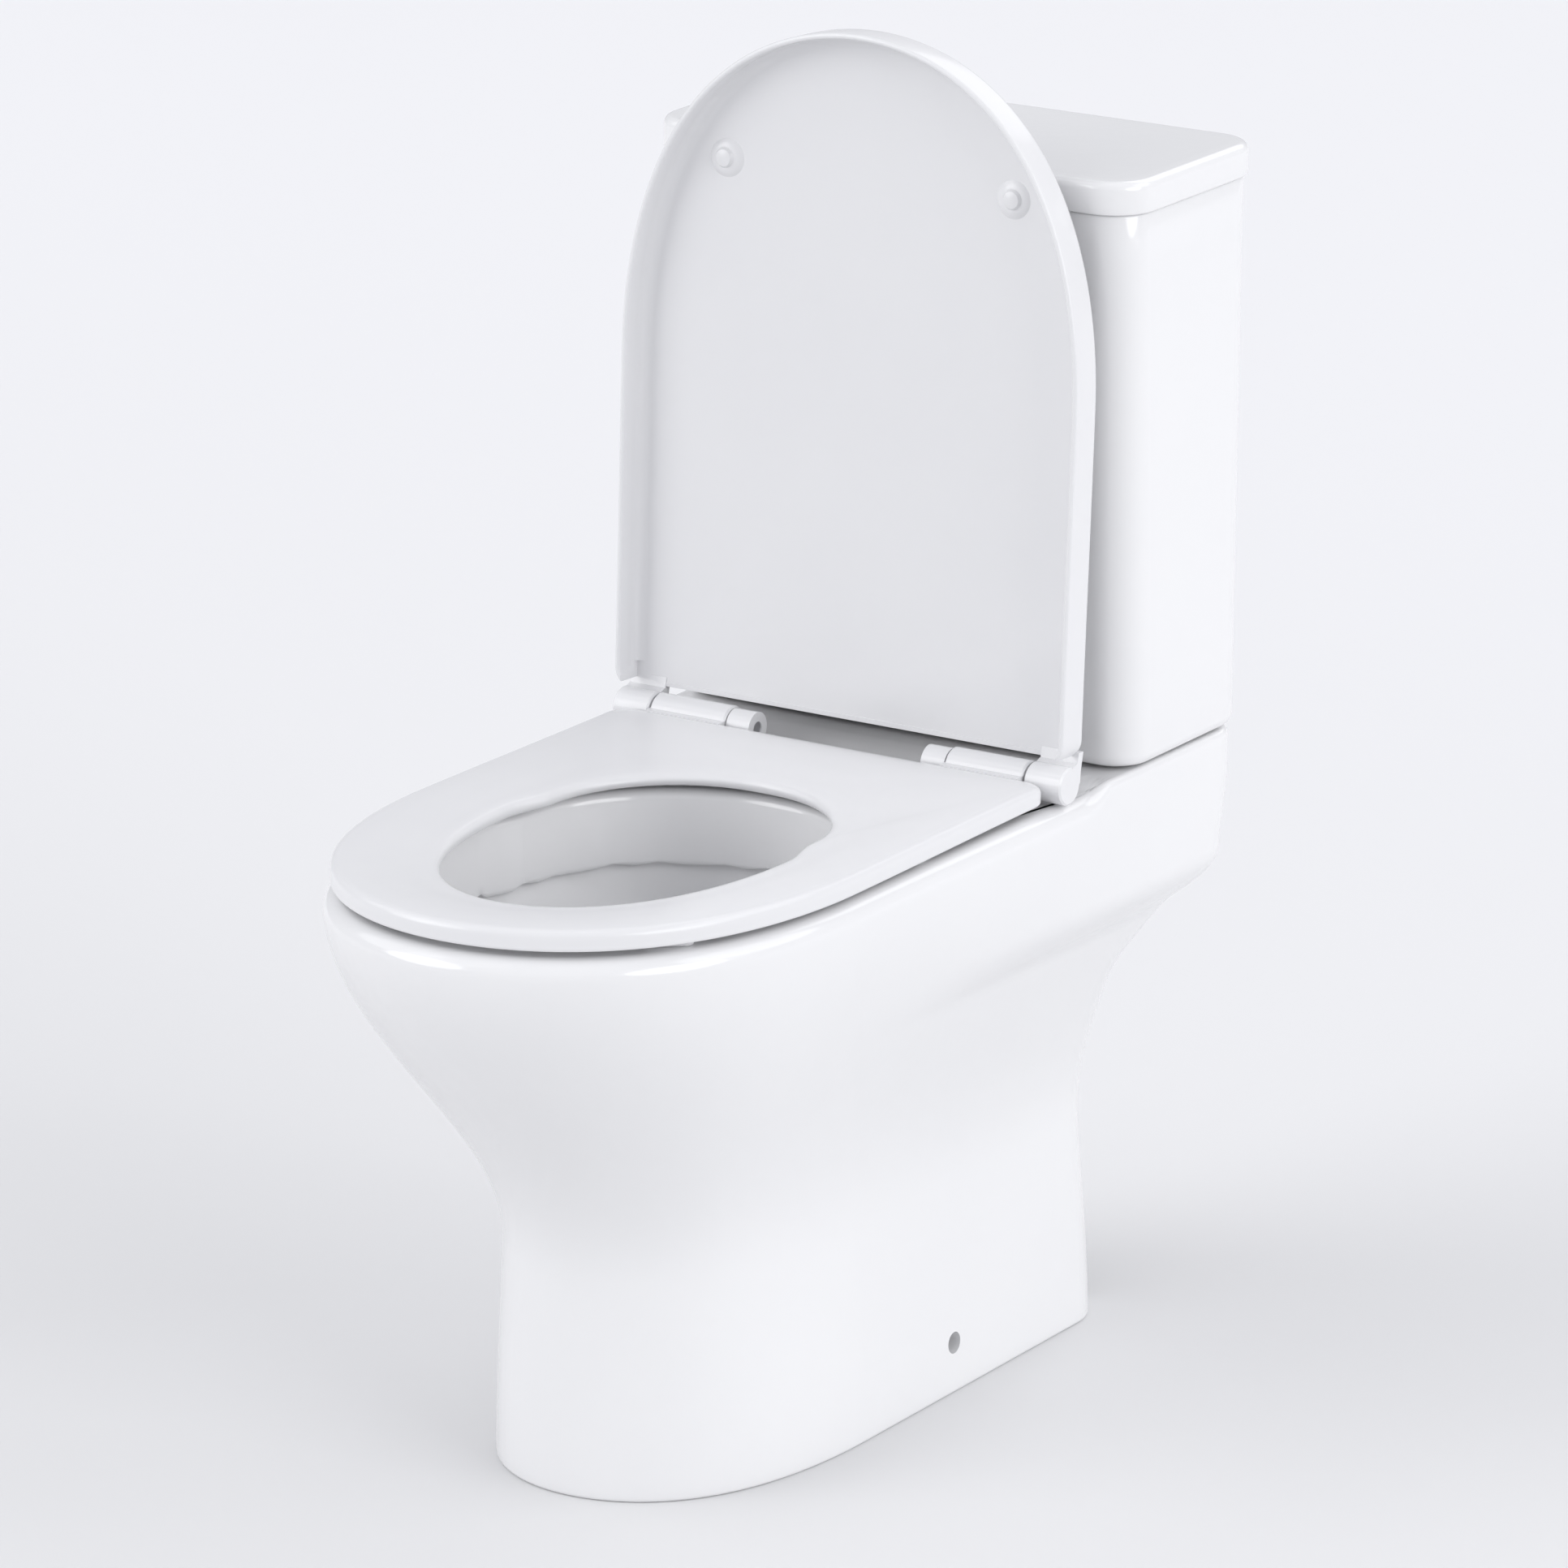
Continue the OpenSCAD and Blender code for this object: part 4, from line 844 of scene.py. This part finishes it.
def shell_rows(z, d):
    """Outline of the lid at heights z, drawn in by d."""
    z, d = np.broadcast_arrays(np.atleast_1d(z), np.atleast_1d(d))
    return raised_to(d_outline(lid_w / 2 - d, lid_w / 2 - 1 * mm - d, shell_front + d, hinge_y - 252 * mm,
                               seat_back - np.minimum(d, 3 * mm), 14 * mm - np.minimum(d, 8 * mm), 0.10), z)


def panel_rows(z, d, t):
    """The crowned panel: the outline drawn towards its middle by shares t, rising with 1 - t squared."""
    t = np.asarray(t)[:, None]
    rows = mix(np.array([0, hinge_y - 240 * mm]), shell_rows(z, d)[..., :2], t[..., None])
    return raised_to(rows, np.broadcast_to(z + crown * (1 - t ** 2), rows.shape[:2]))


share = np.linspace(0.03, 1, 18)
bend = np.radians(np.linspace(0, 90, 9))
half_turn = np.radians(np.linspace(0, 180, 9))
lid = solid("lid_moulding", np.concatenate([
    panel_rows(shell_inside, shell_wall + shell_fillet, share),
    shell_rows(shell_inside - shell_fillet * (1 - np.cos(bend[1:])),
               shell_wall + shell_fillet * (1 - np.sin(bend[1:]))),
    shell_rows(shell_low + shell_wall / 2 * (1 - np.sin(half_turn)),
               shell_wall / 2 * (1 + np.cos(half_turn))),
    shell_rows(shell_high - shell_edge * (1 - np.sin(bend)), shell_edge * (1 - np.cos(bend))),
    panel_rows(shell_high + 0.1 * mm, shell_edge + 1 * mm, share[:0:-1]),
]))
joined(lid, block("seat_way", (-seat_w / 2 - 1 * mm, hinge_y - 30 * mm, shell_low - 5 * mm),
                  (seat_w / 2 + 1 * mm, hinge_y, shell_inside - 0.5 * mm)))
for side in (-1, 1):
    low, high = sorted(side * x for x in lid_knuckle)
    arm = np.array([[(x, hinge_y + y * mm, hinge_z + z * mm) for y, z in lid_arm] for x in (low, high)])
    joined(lid, solid("lid_arm", arm), "UNION")
    joined(lid, knuckle("lid_barrel", side, lid_knuckle, knuckle_r), "UNION")
    span = sorted(side * x for x in (lid_knuckle[0] - 1 * mm, lid_knuckle[1] - 4 * mm))
    joined(lid, turned("pin_bore", [(pin_bore_r, x) for x in span], (0, hinge_y, hinge_z), "X"))
raise_lid = (Matrix.Translation((0, hinge_y, hinge_z)) @ Matrix.Rotation(-math.radians(90 + lid_lean), 4, "X")
             @ Matrix.Translation((0, -hinge_y, -hinge_z)))
lid.data.transform(raise_lid)
placed_on(lid, "lid", "seat_plastic", plastic, "seat_lid")

# ---- Lid buffers ----
# Two soft domed feet pressed into the lid's underside, each with a small flat pad that
# lands on the seat.

pad_z = seat_z + 1.02 * seat_t + 0.4 * mm
dome_r, pad_r = 14 * mm, 6 * mm
brim_h, dome_h = 1.4 * mm, 3.4 * mm
top_z = shell_inside + 3 * mm
feet = None
for side in (-1, 1):
    swell = np.linspace(1, 0, 10)
    dome_z = top_z - pad_z - brim_h - dome_h * np.sin(math.pi / 2 * swell)
    dome = zip(dome_r - (dome_r - pad_r - 1 * mm) * swell, dome_z)
    pad = [(pad_r - 1 * mm, 0), (pad_r - 0.3 * mm, 0.3 * mm), (pad_r, 1 * mm)]
    foot = turned("lid_buffers_moulded", pad + list(dome) + [(dome_r - 1 * mm, top_z - pad_z)],
                  (side * (seat_w / 2 - 59 * mm), seat_front + 92 * mm, pad_z))
    feet = joined(feet, foot, "UNION") if feet else foot
feet.data.transform(raise_lid)
placed_on(feet, "lid", "seat_rubber", plastic, "lid_buffers")

# ---- Hinges and fittings ----
# The posts, pins, dampers, bolts, nuts and seals, and the valves inside the cistern, as
# they come from their moulds and presses.


def moulded(name, light_shade, dark_shade, rough):
    """Plain moulded part: an even colour with a fine grain, its gloss about rough."""
    def surface(place):
        grain = place.noise(700.0, 2.0)
        return {"Base Color": place.noise(30.0).between(dark_shade, light_shade),
                "Roughness": place.noise(60.0) * 0.12 + rough, "Normal": grain.bump(0.15, 0.1 * mm)}
    return finish_of(name, {"IOR": 1.5}, surface)


def zinc_surface(place):
    """Zinc-plated steel: grey with a faint crystalline mottle and drawn scratches."""
    mottle = place.noise(220.0, 3.0)
    scratch = place.noise(160.0, 3.0, (8, 8, 0.6))
    return {"Base Color": mottle.between((0.42, 0.42, 0.44, 1), (0.60, 0.60, 0.61, 1)),
            "Roughness": scratch * 0.2 + 0.24, "Normal": scratch.bump(0.15, 0.06 * mm)}


fitting_finishes = {
    "seat_plastic": plastic,
    "seat_rubber": plastic,
    "bright_chrome": chrome,
    "valve_plastic": moulded("valve_moulding", (0.72, 0.73, 0.74, 1), (0.68, 0.69, 0.70, 1), 0.34),
    "blue_plastic": moulded("blue_moulding", (0.07, 0.20, 0.48, 1), (0.05, 0.16, 0.40, 1), 0.32),
    "red_plastic": moulded("red_moulding", (0.48, 0.06, 0.05, 1), (0.40, 0.045, 0.04, 1), 0.32),
    "grey_rubber": moulded("black_rubber", (0.045, 0.045, 0.048, 1), (0.03, 0.03, 0.032, 1), 0.62),
    "zinc_steel": finish_of("zinc_plate", {"Metallic": 1.0}, zinc_surface),
}
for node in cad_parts.values():
    node.data.materials[0] = fitting_finishes.get(node.data.materials[0].name, china)

low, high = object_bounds()
